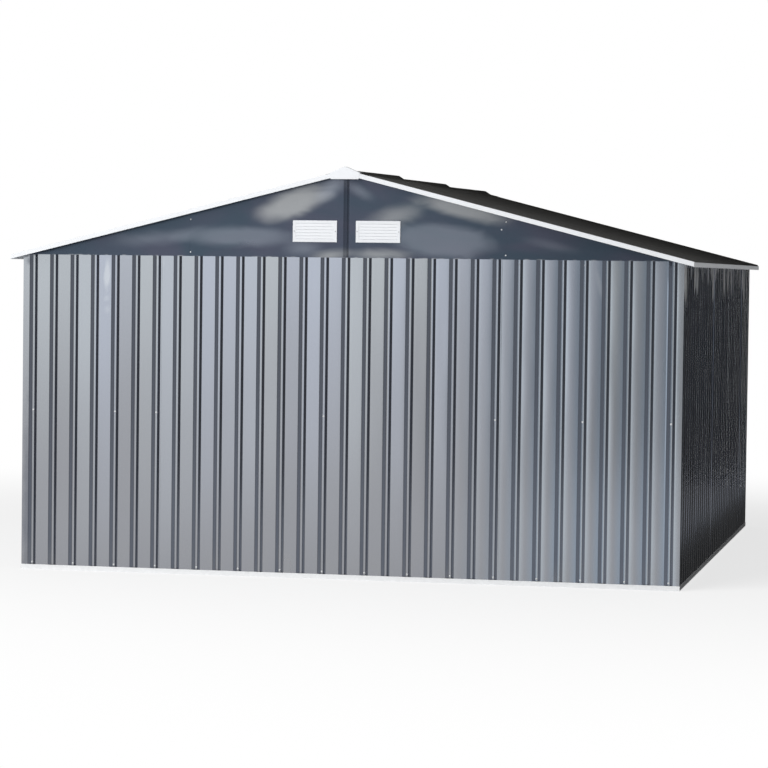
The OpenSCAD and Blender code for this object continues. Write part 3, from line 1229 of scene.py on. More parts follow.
@dataclass
class GableHalf:
    """Half a gable sheet, made for the rear right: folded in at the middle, buckled, holed for the vent."""

    lay: Layout
    finish: Finish
    vent: Vent
    dents_and_painted_light: tuple[DentAndPaintedLight, ...]
    fold_w: float
    fold_depth: float
    rail_top: float
    joint_x: float = 0.788
    step: float = 0.7 * MM
    columns: int = 90
    rows: int = 24
    wave: float = 1.1 * MM
    edge_fade: float = 0.05
    rail_fade: float = 0.03
    vent_fade: float = 0.04

    def build(self, shop: Shop, side: int, front: bool) -> None:
        """Make this half of the gable in its own place.

        Args:
            shop: makes the pieces.
            side: 1 for the right and -1 for the left.
            front: whether it belongs to the door end.
        """
        lay = self.lay
        label = f"{end_name(front)}_gable_{side_name(side)}"
        bm = bmesh.new()
        top = lay.under(0.0)
        bmesh.ops.create_grid(bm, x_segments=self.columns, y_segments=self.rows, size=0.5)
        place = Matrix.Translation((lay.half_w / 2, 0.0, (lay.wall_h + top) / 2))
        turn(bm, place @ STAND_UP @ Matrix.Diagonal((lay.half_w, top - lay.wall_h, 1.0, 1.0)))
        self._cut(bm, (0.0, 0.0, top - lay.seat), (lay.slope, 0.0, 1.0), clear=True)
        for x in (self.fold_w, self.joint_x, self.joint_x + 0.6 * MM):
            self._cut(bm, (x, 0.0, 0.0), (1.0, 0.0, 0.0))
        self._cut_hole(bm)
        for v in bm.verts:
            v.co.y = self._relief(v.co.x, v.co.z, side)
        move(bm, bm.verts, (0.0, -lay.half_d, 0.0))
        face_towards(bm, (0.0, -1.0, 0.0))
        thicken(bm, lay.sheet)
        settle(bm, side, front)
        shop.finish(bm, f"{label}_sheet", self.finish, "gable_paint", [label])

    @staticmethod
    def _cut(bm: Shape, at: Triple, normal: Triple, clear: bool = False) -> None:
        """Cut the whole sheet along a plane, dropping what is past it if asked."""
        geom = bm.verts[:] + bm.edges[:] + bm.faces[:]
        bmesh.ops.bisect_plane(bm, geom=geom, plane_co=at, plane_no=normal, clear_outer=clear)

    def _cut_hole(self, bm: Shape) -> None:
        """Open the hole behind the vent.

        Args:
            bm: the gable sheet.
        """
        width, height = self.vent.hole
        left, low = self.vent.middle_x - width / 2, self.vent.middle_z - height / 2
        for x in (left, left + width):
            self._cut(bm, (x, 0.0, 0.0), (1.0, 0.0, 0.0))
        for z in (low, low + height):
            self._cut(bm, (0.0, 0.0, z), (0.0, 0.0, 1.0))
        middles = [(f, f.calc_center_median()) for f in bm.faces]
        inside = [f for f, m in middles if left < m.x < left + width and low < m.z < low + height]
        bmesh.ops.delete(bm, geom=inside, context="FACES")

    def _relief(self, x: float, z: float, side: int) -> float:
        """How far back a point of the sheet lies from the gable's face.

        Args:
            x: its distance from the middle of the gable.
            z: its height.
            side: 1 for the half at +X and -1 for the other.

        Returns:
            The distance behind the face.
        """
        lay, vent = self.lay, self.vent
        if x < self.fold_w:
            return self.fold_depth * (1.0 - x / self.fold_w)
        off_vent = max(abs(x - vent.middle_x) - vent.width / 2, abs(z - vent.middle_z) - vent.height / 2)
        off_fold, off_rail, off_roof = x - self.fold_w, z - self.rail_top, lay.under(x) - z
        fade = share(
            off_fold / self.edge_fade, off_rail / self.rail_fade, off_roof / self.edge_fade,
            off_vent / self.vent_fade,
        )
        wave = noise.noise(Vector((x * side * 3.4, z * 8.0, 3.0))) * self.wave * 1.4
        buckle = sum(d.depth(x * side, z) * d.strength for d in self.dents_and_painted_light) * self.wave
        lap = 0.0 if x > self.joint_x + 0.3 * MM else self.step
        return lap + (wave + buckle + 0.6 * MM) * fade


# ---------------------------------------------------------------- roof edge


@dataclass
class RidgeCap:
    """Three cap sheets along the ridge, each lying over the next one's end."""

    lay: Layout
    finish: Finish
    joints: tuple[float, ...] = (-0.755, 0.565)
    overlap: float = 0.06
    lift: float = 13.0 * MM
    crown_w: float = 58.0 * MM
    tuck: float = 1.2 * MM
    lip: float = 6.0 * MM
    bend: float = 5.0 * MM
    rows: int = 14

    def build(self, shop: Shop) -> None:
        """Make the cap's sheets as one piece.

        Args:
            shop: makes the pieces.
        """
        low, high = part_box("ridge_cap")
        stops = [low.y, *self.joints, high.y]
        whole = bmesh.new()
        for i, (a, b) in enumerate(zip(stops, stops[1:])):
            merge_in(whole, self._sheet(a - (self.overlap if i else 0.0), b, high.x))
        shop.finish(whole, "ridge_cap_sheets", self.finish, "roof_paint", ["ridge_cap"])

    def _sheet(self, start: float, end: float, half: float) -> Shape:
        """One cap sheet, its far end raised over the next one.

        Args:
            start: where it starts.
            end: where it ends.
            half: half its width.

        Returns:
            The cap sheet's shape.
        """
        lay = self.lay
        rise = (lay.roof_skin + lay.sheet) * lay.lean
        side = [(x, lay.under(x) + rise) for x in (lay.crest, self.crown_w, half)]
        side.append((half, lay.under(half) + rise - self.lip - lay.sheet))
        line = [(-x, start, z) for x, z in reversed(side)] + [(x, start, z) for x, z in side]
        bm = bmesh.new()
        sweep(bm, outline(bm, line), (0.0, end - start, 0.0))
        round_folds(bm, self.bend, 3, 5.0)
        divide(bm, [e for e in bm.edges if stretch(e, Y) > EPS], self.rows)
        for v in bm.verts:
            along = max(0.0, (v.co.y - start) / (end - start))
            crown = share((self.crown_w - abs(v.co.x)) / (self.crown_w - lay.crest))
            v.co.z += self.lift * crown * along - self.tuck * (1.0 - along)
            v.co.z += noise.noise(Vector((v.co.x * 6.0, v.co.y * 4.0, start))) * 0.6 * MM
        face_towards(bm, (0.0, 0.0, 1.0))
        thicken(bm, lay.sheet)
        return bm


@dataclass
class BargeTrim:
    """The white folded trim along a gable's roof edge, made for the rear right."""

    lay: Layout
    finish: Finish
    flange: float
    hem: float = 8.0 * MM
    fold: float = 2.6 * MM

    def build(self, shop: Shop, side: int, front: bool) -> None:
        """Make the trim in its own place.

        Args:
            shop: makes the pieces.
            side: 1 for the right and -1 for the left.
            front: whether it belongs to the door end.
        """
        lay = self.lay
        label = f"{end_name(front)}_barge_{side_name(side)}"
        face = -lay.half_roof - lay.trim
        top = lay.under(0.0) + (lay.sheet + lay.trim) * lay.lean
        low = top - lay.trim_h * lay.lean
        line = [
            (0.0, face + self.fold, low + self.hem), (0.0, face + self.fold, low), (0.0, face, low),
            (0.0, face, top), (0.0, -lay.half_roof + self.flange, top),
        ]
        end = lay.eave_x + lay.trim
        bm = bmesh.new()
        sweep(bm, outline(bm, line), (end, 0.0, -end * lay.slope))
        round_folds(bm, 1.1 * MM, 3)
        divide(bm, [e for e in bm.edges if stretch(e, X) > LONG], TRIM_ROWS)
        for v in bm.verts:
            v.co.y += abs(noise.noise(Vector((v.co.x * 3.0, 0.0, 7.0)))) * 0.8 * MM
        face_towards(bm, (0.0, -1.0, 0.5))
        thicken(bm, lay.trim)
        settle(bm, side, front)
        shop.finish(bm, f"{label}_trim", self.finish, "white_trim", [label])


@dataclass
class PeakCap:
    """The folded cap where two barge trims meet, made for the rear."""

    lay: Layout
    finish: Finish
    flange: float
    shoulder: float = 0.42
    notch: float = 6 * MM

    def build(self, shop: Shop, front: bool, drop: float = 0.0) -> None:
        """Make the cap at one end.

        Args:
            shop: makes the pieces.
            front: whether it belongs to the door end.
            drop: how much lower than its own height it sits.
        """
        lay = self.lay
        label = f"{end_name(front)}_peak_cap"
        low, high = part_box("rear_peak_cap")
        half, face = high.x, low.y
        apex, foot = high.z - drop, low.z - drop
        shoulder, inner = apex - half * self.shoulder, half - self.notch
        bm = bmesh.new()
        corners = [(inner, foot), (half, shoulder), (0.0, apex), (-half, shoulder), (-inner, foot)]
        plate = bm.faces.new([bm.verts.new((x, face, z)) for x, z in corners])
        upper = [e for e in plate.edges if all(v.co.z > shoulder - EPS for v in e.verts)]
        sweep(bm, upper, (0.0, self.flange + 2 * lay.trim, 0.0))
        round_folds(bm, 2.4 * MM, 3, 8.0)
        face_towards(bm, (0.0, -1.0, 0.3))
        thicken(bm, lay.trim)
        settle(bm, -1 if front else 1, front)
        shop.finish(bm, f"{label}_plate", self.finish, "white_trim", [label])


@dataclass
class EaveTrim:
    """The trim under a roof's lower edge, made for the right side."""

    lay: Layout
    finish: Finish
    hem: float = 8.0 * MM
    fold: float = 2.6 * MM
    reach: float = 30.0 * MM

    def build(self, shop: Shop, side: int) -> None:
        """Make the trim on one side.

        Args:
            shop: makes the pieces.
            side: 1 for the right and -1 for the left.
        """
        lay = self.lay
        label = f"eave_trim_{side_name(side)}"
        face, back, y = lay.eave_x + lay.trim, lay.eave_x - self.reach, -lay.half_roof
        top = lay.under(lay.eave_x)
        low = top - lay.trim_h
        line = [
            (face - self.fold, y, low + self.hem), (face - self.fold, y, low), (face, y, low),
            (face, y, top), (back, y, lay.under(back)),
        ]
        bm = bmesh.new()
        sweep(bm, outline(bm, line), (0.0, 2 * lay.half_roof, 0.0))
        round_folds(bm, 1.1 * MM, 3)
        divide(bm, [e for e in bm.edges if stretch(e, Y) > LONG], TRIM_ROWS)
        for v in bm.verts:
            v.co.x -= abs(noise.noise(Vector((v.co.y * 2.5, 0.0, 5.0)))) * 0.8 * MM
        face_towards(bm, (1.0, 0.0, 0.3))
        thicken(bm, lay.trim)
        if side < 0:
            flip_x(bm)
        shop.finish(bm, f"{label}_fold", self.finish, "white_trim", [label])


# ---------------------------------------------------------------- doors


@dataclass
class SlidingDoor:
    """A sliding leaf, made at the rear right and then turned to the front."""

    lay: Layout
    finish: Finish
    handle: Finish
    member: float = 36 * MM
    thick: float = 22 * MM
    stand_off: float = 22 * MM
    grip: float = 18 * MM
    grip_h: float = 65 * MM
    hanger_h: float = 12 * MM
    hanger_half_w: float = 15 * MM
    hangers: tuple[float, float] = (0.2, 0.8)
    rounding: float = 2.0 * MM

    def build(self, shop: Shop, side: int) -> None:
        """Make the leaf and its handle.

        Args:
            shop: makes the pieces.
            side: 1 for the right and -1 for the left.
        """
        label = f"door_{side_name(side)}"
        low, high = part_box("door_right")
        face = -(high.y - self.stand_off)
        head = high.z - self.hanger_h
        middle = (low.z + head) / 2
        bm = bmesh.new()
        self._members(bm, low.x, high.x, low.z, head, face)
        merge_in(bm, self._panel(low.x, high.x, low.z, head, face, 61.0 + side))
        for part in self.hangers:
            x, y, half = low.x + (high.x - low.x) * part, face + self.thick / 2, self.hanger_half_w
            bar(bm, (x - half, y - 5 * MM, head - 1 * MM), (x + half, y + 5 * MM, high.z), 1.0 * MM)
        settle(bm, side, True)
        shop.finish(bm, f"{label}_leaf", self.finish, "door_paint", [label])
        bm = bmesh.new()
        self._bow(bm, low.x + self.member / 2, face, middle)
        settle(bm, side, True)
        shop.finish(bm, f"{label}_handle", self.handle, "galvanised")

    def _members(
        self, bm: Shape, left: float, right: float, foot: float, head: float, face: float
    ) -> None:
        """Two stiles with three rails between them, the rails a little behind the stiles.

        Args:
            bm: the shape that is being made.
            left: the leaf's left edge.
            right: the leaf's right edge.
            foot: the leaf's foot.
            head: the leaf's head.
            face: where the leaf's front lies.
        """
        back, step = face + self.thick, 1.2 * MM
        for x in (left, right - self.member):
            bar(bm, (x, face, foot), (x + self.member, back, head), self.rounding)
        inner_l, inner_r = left + self.member - 1 * MM, right - self.member + 1 * MM
        middle = (foot + head) / 2
        for z in (foot + 1 * MM, middle - self.member / 2, head - self.member - 1 * MM):
            bar(bm, (inner_l, face + step, z), (inner_r, back - step, z + self.member), self.rounding)

    def _panel(
        self, left: float, right: float, foot: float, head: float, face: float, seed: float
    ) -> Shape:
        """The ribbed sheet inside the members.

        Args:
            left: the leaf's left edge.
            right: the leaf's right edge.
            foot: the leaf's foot.
            head: the leaf's head.
            face: where the leaf's front lies.
            seed: picks how the sheet buckles.

        Returns:
            The panel's shape, in place.
        """
        width = right - left - 2 * self.member + 2 * MM
        sheet = RibbedSheet(
            self.lay, 0.0, width, foot + 2 * MM, head - 2 * MM, self.lay.rib_places(width),
            self.lay.skin - self.lay.sheet, ripple=Ripple(seed=seed, wave=0.3 * MM),
        ).build()
        turn(sheet, Matrix.Translation((left + self.member - 1 * MM, face + 3 * MM, 0.0)))
        return sheet

    def _bow(self, bm: Shape, x: float, face: float, z: float) -> None:
        """A bow handle: a rounded grip on two feet.

        Args:
            bm: the shape that is being made.
            x: the middle of the stile that it stands on.
            face: where the leaf's front lies.
            z: the height of its middle.
        """
        half, tall, out = self.grip / 2, self.grip_h, face - self.stand_off
        bar(bm, (x - half, out, z - tall), (x + half, out + 8 * MM, z + tall), 3.2 * MM, 3)
        for low in (z - tall + 1 * MM, z + tall - 17 * MM):
            inner = half - 0.5 * MM
            bar(bm, (x - inner, out + 4 * MM, low), (x + inner, face, low + 16 * MM), 2.5 * MM, 3)


@dataclass
class DoorTrack:
    """The channel that the leaves hang in, with the fascia over the doorway."""

    lay: Layout
    finish: Finish
    half_door: float
    fascia: float = 46 * MM
    lip: float = 30 * MM
    steel: float = 1.5 * MM

    def build(self, shop: Shop) -> None:
        """Make the track at the rear and turn it to the front.

        Args:
            shop: makes the pieces.
        """
        lay = self.lay
        low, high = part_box("door_track")
        near, far, top, reach = -lay.half_d + lay.skin, -low.y, lay.wall_h, high.x
        bm = bmesh.new()
        rim = top - self.lip
        line = [(-reach, near, rim), (-reach, near, top), (-reach, far, top), (-reach, far, rim)]
        merge_in(bm, self._folded(line, 2 * reach, (0.0, -0.1, 1.0), self.steel))
        x, face, foot, head = -self.half_door, -lay.half_d, top - self.fascia, top - 0.2 * MM
        hem = face + 9 * MM
        line = [(x, hem, foot + 4 * MM), (x, hem, foot), (x, face, foot), (x, face, head), (x, near, head)]
        merge_in(bm, self._folded(line, 2 * self.half_door, (0.0, -1.0, 0.1), lay.sheet))
        turn(bm, HALF_TURN)
        shop.finish(bm, "door_track_channel", self.finish, "galvanised", ["door_track"])

    @staticmethod
    def _folded(line: list[Triple], length: float, outward: Triple, steel: float) -> Shape:
        """A folded strip that runs along X.

        Args:
            line: its outline at one end.
            length: how long it is.
            outward: where its faces look.
            steel: how thick it is.

        Returns:
            The strip's shape.
        """
        part = bmesh.new()
        sweep(part, outline(part, line), (length, 0.0, 0.0))
        round_folds(part, 1.4 * MM, 3)
        face_towards(part, outward)
        thicken(part, steel)
        return part


# ---------------------------------------------------------------- fixings


def add_screw(bm: Shape, place: Matrix, washer: float, height: float) -> None:
    """Add a screw with its washer, its head pointing to the place's own -Y.

    Args:
        bm: the shape that takes the screw.
        place: where the washer's back lies.
        washer: the washer's radius.
        height: how far the head stands out.
    """
    upright = place @ STAND_UP
    disc = upright @ Matrix.Translation((0.0, 0.0, height * 0.15))
    bmesh.ops.create_cone(
        bm, cap_ends=True, segments=14, radius1=washer, radius2=washer * 0.88, depth=height * 0.3, matrix=disc
    )
    head = upright @ Matrix.Translation((0.0, 0.0, height * 0.62))
    made = bmesh.ops.create_cone(
        bm, cap_ends=True, segments=6, radius1=washer * 0.6, radius2=washer * 0.56, depth=height * 0.76,
        matrix=head,
    )
    out = upright.to_3x3() @ Vector((0.0, 0.0, 1.0))
    tip = max(v.co.dot(out) for v in made["verts"])
    around = {e for v in made["verts"] for e in v.link_edges}
    bevel(bm, {e for e in around if all(v.co.dot(out) > tip - EPS for v in e.verts)}, washer * 0.1, 1)


@dataclass
class Fixings:
    """Rows of screws that hold the sheets to the frame."""

    lay: Layout
    finish: Finish
    washer: float = 4.6 * MM
    height: float = 2.6 * MM
    gable_washer: float = 3.6 * MM
    gable_h: float = 2.4 * MM
    roof_h: float = 2.2 * MM
    seam_x: float = 0.784
    seam_z: tuple[float, float] = (0.020, 0.180)
    lap_spot: tuple[float, float] = (0.762, 0.143)
    above_eave: float = 0.09
    past_middle: float = 0.02
    below_ridge: float = 0.14

    def wall(
        self, shop: Shop, name: str, stand: Matrix, start: float, end: float, spots: list[tuple[int, float]]
    ) -> None:
        """Screw a wall's rib floors.

        Args:
            shop: makes the piece.
            name: the piece's name.
            stand: where the wall stands.
            start: where the wall's ribs start along it.
            end: where they end.
            spots: the rib's number and the height of each screw.
        """
        ribs = [start + r for r in self.lay.rib_places(end - start)]
        bm = bmesh.new()
        depth = self.lay.skin - self.lay.sheet
        for rib, z in spots:
            if rib < len(ribs):
                add_screw(bm, stand @ Matrix.Translation((ribs[rib], depth, z)), self.washer, self.height)
        shop.finish(bm, name, self.finish, "galvanised")

    def gable(self, shop: Shop, front: bool) -> None:
        """Screw the joints of a gable's sheets.

        Args:
            shop: makes the pieces.
            front: whether it belongs to the door end.
        """
        lay = self.lay
        spots = [(s * self.seam_x, lay.wall_h + z) for s in SIDES for z in self.seam_z]
        spots.append((self.lap_spot[X], lay.wall_h + self.lap_spot[Y]))
        bm = bmesh.new()
        for x, z in spots:
            spot = Matrix.Translation((x, -lay.half_d + 0.9 * MM, z))
            add_screw(bm, spot, self.gable_washer, self.gable_h)
        settle(bm, -1 if front else 1, front)
        shop.finish(bm, f"{end_name(front)}_gable_screws", self.finish, "galvanised")

    def roof(self, shop: Shop, side: int) -> None:
        """Screw a roof slope's flats over the eave rail, the purlin and the ridge beam.

        Args:
            shop: makes the pieces.
            side: 1 for the right and -1 for the left.
        """
        lay = self.lay
        stand = Stand(lay).roof(side)
        ribs = lay.rib_places(2 * lay.half_roof)
        length = lay.eave_x * lay.lean
        bm = bmesh.new()
        for level in (self.above_eave, length / 2 + self.past_middle, length - self.below_ridge):
            for rib in ribs[1:-1:3]:
                spot = (rib + lay.pitch / 2, -2 * lay.sheet, level)
                add_screw(bm, stand @ Matrix.Translation(spot), self.washer, self.roof_h)
        shop.finish(bm, f"roof_{side_name(side)}_screws", self.finish, "galvanised")


# ---------------------------------------------------------------- studio


@dataclass(frozen=True)
class Viewpoint:
    """The camera: a long lens that stands off the plain gable's right half."""

    spot: Triple = (3.069, -15.549, 1.495)
    yaw: float = 11.869
    pitch: float = -2.198
    roll: float = 0.719
    lens: float = 135.2
    sensor: float = 36.0
    clip_end: float = 200.0

    def build(self) -> None:
        """Set the camera up."""
        yaw, pitch, roll = (math.radians(a) for a in (self.yaw, self.pitch, self.roll))
        ahead = Vector((-math.sin(yaw) * math.cos(pitch), math.cos(yaw) * math.cos(pitch), math.sin(pitch)))
        level = Vector((math.cos(yaw), math.sin(yaw), 0.0))
        upright = level.cross(ahead)
        right = level * math.cos(roll) + upright * math.sin(roll)
        up = upright * math.cos(roll) - level * math.sin(roll)
        data = bpy.data.cameras.new("camera")
        data.lens, data.sensor_width, data.clip_end = self.lens, self.sensor, self.clip_end
        camera = bpy.data.objects.new("camera", data)
        turned = Matrix((right, up, -ahead)).transposed().to_4x4()
        camera.matrix_world = Matrix.Translation(self.spot) @ turned
        bpy.context.scene.collection.objects.link(camera)
        bpy.context.scene.camera = camera


@dataclass(frozen=True)
class GlossCard(Finish):
    """A studio card that only glossy surfaces see; its tone may fade from one end to the other."""

    level: float = 0.05
    start_level: float | None = None
    fade_from: float = 0.0
    fade_to: float = 1.0

    def dress(self, book: NodeBook) -> None:
        """An even grey glow, or one that fades along X.

        Args:
            book: the node tree to fill.
        """
        tone: Wire | tuple = (*even(self.level), 1.0)
        if self.start_level is not None:
            across = book.axes()[X].band(self.fade_from, self.fade_to)
            tone = book.blend(across, even(self.start_level), even(self.level))
        book.close(book.make("ShaderNodeEmission", None, {"Color": tone}))


@dataclass(frozen=True)
class PaleFloor(Finish):
    """The pale studio floor, which keeps the shed's shadow and fades to white further out."""

    level: float = 0.92
    keep: float = 0.30
    near: float = 2.6
    far: float = 7.0

    def dress(self, book: NodeBook) -> None:
        """Mostly a plain white to the camera and to gloss, with some of the real light near the shed.

        Args:
            book: the node tree to fill.
        """
        seen = book.seen_directly()
        reach = book.wire("ShaderNodeVectorMath", {"operation": "LENGTH"}, {0: book.place()}, "Value")
        white_share = seen * (1.0 - self.keep * (1.0 - reach.band(self.near, self.far)))
        lit = book.wire("ShaderNodeBsdfDiffuse", None, {"Color": (*even(self.level), 1.0)})
        white = book.wire("ShaderNodeEmission", None, {"Color": WHITE})
        book.close(book.make("ShaderNodeMixShader", None, {0: white_share, 1: lit, 2: white}))


@dataclass
class Studio:
    """Floor, world, soft lamp and the cards that the paint mirrors."""

    floor_half: float = 60.0
    ambient: float = 0.38
    lamp_power: float = 760.0
    lamp_spot: Triple = (-3.6, -8.0, 8.0)
    lamp_size: float = 7.0

    def build(self) -> None:
        """Make everything around the shed."""
        self._world()
        self._floor()
        self._lamp()
        self._card(GlossCard("card_behind_right", 0.009), (1.75, 5.05, 0.0), (9.0, 5.05, 4.6))
        self._card(GlossCard("card_behind_roof", 0.02), (-6.0, 5.0, 1.8), (6.0, 5.0, 8.0))
        self._card(GlossCard("card_right", 0.30), (6.5, -2.2, 0.0), (6.5, 4.0, 4.0))
        self._card(GlossCard("card_left", 0.14), (-4.8, -6.5, 0.0), (-4.8, -2.1, 5.0))
        self._card(GlossCard("card_front_right", 0.40, 1.0, -1.0, 0.3), (-1.0, -9.0, -0.2), (3.4, -9.0, 5.0))
        self._card(GlossCard("card_side_right", 0.62), (3.4, -9.0, -0.2), (9.5, -3.6, 5.0))
        bm = bmesh.new()
        bmesh.ops.create_grid(bm, x_segments=1, y_segments=1, size=0.5)
        turn(bm, Matrix.Translation((2.75, 1.6, 3 * MM)) @ Matrix.Diagonal((2.3, 6.9, 1.0, 1.0)))
        self._gloss_only(self._stage(bm, "card_floor_right", GlossCard("card_floor_right", 0.045)))
        bpy.context.scene.view_settings.view_transform = "Standard"

    def _world(self) -> None:
        """White to the camera and to gloss, a plain ambient to everything else."""
        world = bpy.data.worlds.new("studio")
        bpy.context.scene.world = world
        world.use_nodes = True
        book = NodeBook(world.node_tree)
        seen = book.seen_directly()
        strength = seen * (1.0 - self.ambient) + self.ambient
        light = book.make("ShaderNodeBackground", None, {"Color": WHITE, "Strength": strength})
        book.close(light, "ShaderNodeOutputWorld")

    def _floor(self) -> None:
        """A wide flat floor under the shed."""
        bm = bmesh.new()
        bmesh.ops.create_grid(bm, x_segments=1, y_segments=1, size=self.floor_half)
        self._stage(bm, "studio_floor", PaleFloor("pale_floor"))

    def _card(self, finish: GlossCard, low: Triple, high: Triple) -> None:
        """Stand a card up between two floor points, seen only in reflections.

        Args:
            finish: its surface.
            low: its foot at one end.
            high: its head at the other end.
        """
        bm = bmesh.new()
        sweep(bm, outline(bm, [low, (high[0], high[1], low[2])]), (0.0, 0.0, high[2] - low[2]))
        self._gloss_only(self._stage(bm, finish.name, finish))

    @staticmethod
    def _gloss_only(card: bpy.types.Object) -> None:
        """Hide a card from everything but reflections."""
        for ray in ("camera", "diffuse", "shadow", "transmission"):
            setattr(card, f"visible_{ray}", False)

    @staticmethod
    def _stage(bm: Shape, name: str, finish: Finish) -> bpy.types.Object:
        """Make a stage object from a bmesh.

        Args:
            bm: the object's shape, which is freed.
            name: its name.
            finish: its surface.

        Returns:
            The new object.
        """
        mesh = bpy.data.meshes.new(name)
        bm.to_mesh(mesh)
        bm.free()
        obj = bpy.data.objects.new(name, mesh)
        obj.data.materials.append(finish.material())
        bpy.context.scene.collection.objects.link(obj)
        return obj

    def _lamp(self) -> None:
        """One large soft lamp above the plain gable's left."""
        data = bpy.data.lights.new("soft_lamp", "AREA")
        data.shape = "SQUARE"
        data.size = self.lamp_size
        data.energy = self.lamp_power
        lamp = bpy.data.objects.new("soft_lamp", data)
        aim = Vector((0.0, 0.0, 0.9)) - Vector(self.lamp_spot)
        aimed = aim.to_track_quat("-Z", "Y").to_matrix().to_4x4()
        lamp.matrix_world = Matrix.Translation(self.lamp_spot) @ aimed
        lamp.visible_glossy = False
        bpy.context.scene.collection.objects.link(lamp)


# ---------------------------------------------------------------- the shed


@dataclass
class Shed:
    """All the shed's pieces, made in the order that they are put up."""

    lay: Layout
    shop: Shop

    def gable_dents_and_painted_light(self) -> tuple[DentAndPaintedLight, ...]:
        """The buckles of a gable, whose places also carry its painted reflection patches.

        Returns:
            The buckles with their painted patches, in no set order.
        """
        z = self.lay.wall_h
        return (
            DentAndPaintedLight(-0.270, z + 0.262, 0.215, 0.075, 20.0, 0.95, 0.4),
            DentAndPaintedLight(-0.080, z + 0.335, 0.120, 0.055, 38.0, 0.50),
            DentAndPaintedLight(0.060, z + 0.325, 0.090, 0.035, -30.0, 0.30),
            DentAndPaintedLight(0.235, z + 0.200, 0.170, 0.065, 16.0, 0.60),
            DentAndPaintedLight(0.560, z + 0.240, 0.250, 0.050, -14.0, 0.85, 0.3),
            DentAndPaintedLight(0.470, z + 0.085, 0.250, 0.088, -4.0, 0.36, 0.65),
            DentAndPaintedLight(-0.560, z + 0.100, 0.320, 0.056, 0.0, 0.34, 0.4),
            DentAndPaintedLight(-0.980, z + 0.085, 0.240, 0.045, 4.0, 0.25),
            DentAndPaintedLight(-0.080, z + 0.012, 0.120, 0.036, 6.0, 0.75),
            DentAndPaintedLight(0.165, z + 0.018, 0.190, 0.034, 0.0, 0.75),
            DentAndPaintedLight(-0.215, z + 0.040, 0.110, 0.050, 0.0, 0.30),
            DentAndPaintedLight(1.000, z + 0.070, 0.160, 0.030, -12.0, 0.16),
        )

    def build(self) -> None:
        """Make every piece."""
        pale_screw, dull_screw = ScrewPaint("screw_pale"), ScrewPaint("screw_dull", (0.42, 0.43, 0.45))
        self._walls()
        self._roof()
        self._trims()
        self._gables(dull_screw)
        self._doors()
        self._fixings(pale_screw)
        self._frame_parts()

    def _walls(self) -> None:
        """The rear, side and front walls."""
        lay, stand = self.lay, Stand(self.lay)
        depth = lay.skin - lay.sheet
        # Painted highlights and painted shadows on single flats of the rear wall.
        glares = (
            DentAndPaintedLight(-1.208, 1.47, 0.018, 0.085, -4.0, 0.85, 0.35), DentAndPaintedLight(1.624, 1.40, 0.022, 0.30, 0.0, 0.20),
            DentAndPaintedLight(-0.94, 1.535, 0.03, 0.03, 20.0, 0.4), DentAndPaintedLight(1.24, 1.45, 0.016, 0.10, 14.0, 0.35),
            DentAndPaintedLight(-1.212, 1.355, 0.022, 0.018, 18.0, 0.35), DentAndPaintedLight(-1.206, 1.300, 0.020, 0.026, -12.0, 0.30),
        )
        shadows = (DentAndPaintedLight(-1.618, 0.25, 0.03, 0.75, 0.0, 0.55), DentAndPaintedLight(-1.615, 1.535, 0.02, 0.03, 0.0, 0.6))
        first = lay.rib_places(2 * lay.half_w)[0] - lay.half_w
        rear = SlatePaint(
            "slate_rear", lay, Run.ALONG_X, first, fall_from=0.35, glares=glares, shadows=shadows
        )
        RibbedRun(
            lay, "rear_wall_sheets", stand.rear(), rear, "wall_paint", "rear_wall", 0.0, 2 * lay.half_w,
            lay.base_z, lay.wall_h, depth, 1.0,
            ripple=Ripple(bow_gain=lambda x: 0.7 + 2.6 * share((x - 2.0) / 0.9)),
        ).build(self.shop)
        inset = lay.sheet
        first = lay.rib_places(2 * lay.half_d - 2 * inset)[0] - lay.half_d + inset
        right = SlatePaint(
            "slate_right", lay, Run.ALONG_Y, first, metallic=0.98, gloss=0.12, peel=0.04, eave_light_streaks=0.6
        )
        left = SlatePaint("slate_left", lay, Run.ALONG_Y, first, eave_light_streaks=0.7, **DULLER)
        walls = (("right", right, stand.right(), 21.0), ("left", left, stand.left(), 41.0))
        for name, paint, place, seed in walls:
            RibbedRun(
                lay, f"{name}_wall_sheets", place, paint, "wall_paint", f"{name}_wall", inset,
                2 * lay.half_d - inset, lay.base_z, lay.corner_top - lay.seat, depth, seed,
            ).build(self.shop)
        low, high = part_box("front_wall_right")
        run = high.x - low.x
        front = SlatePaint("slate_front", lay, Run.ALONG_X, lay.rib_places(run)[0] + low.x, **DULLER)
        for name, start in (("right", 0.0), ("left", lay.half_w + low.x)):
            RibbedRun(
                lay, f"front_wall_{name}_sheets", stand.front(), front, "wall_paint", f"front_wall_{name}",
                start, start + run, lay.base_z, lay.wall_h, depth, 51.0 + start, first_sheet=20,
                return_start=lay.skin if start else 0.0, return_end=0.0 if start else lay.skin,
            ).build(self.shop)

    def _roof(self) -> None:
        """Both slopes and the ridge cap."""
        lay, stand = self.lay, Stand(self.lay)
        paint = RoofPaintWithPaintedShade("dark_roof")
        length = (lay.eave_x - lay.crest) * lay.lean
        for side in (1, -1):
            node = f"roof_{side_name(side)}"
            RibbedRun(
                lay, f"{node}_sheets", stand.roof(side), paint, "roof_paint", node, 0.0, 2 * lay.half_roof,
                1.0 * MM, length, -(lay.roof_skin - lay.sheet), 81.0 + side, set_back=-2.1 * MM,
                over_first=False, rows=10, ripple=Ripple(wave=0.3 * MM, lean=0.008, bow=0.0),
            ).build(self.shop)
        RidgeCap(lay, paint).build(self.shop)

    def _trims(self) -> None:
        """The white trims along the roof's edges."""
        lay = self.lay
        white = WhitePaint("white_trim_paint")
        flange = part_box("rear_barge_right")[1].y + lay.half_roof
        for front in ENDS:
            for side in SIDES:
                BargeTrim(lay, white, flange).build(self.shop, side, front)
            PeakCap(lay, white, flange).build(self.shop, front, 8 * MM if front else 0.0)
        for side in SIDES:
            EaveTrim(lay, white).build(self.shop, side)

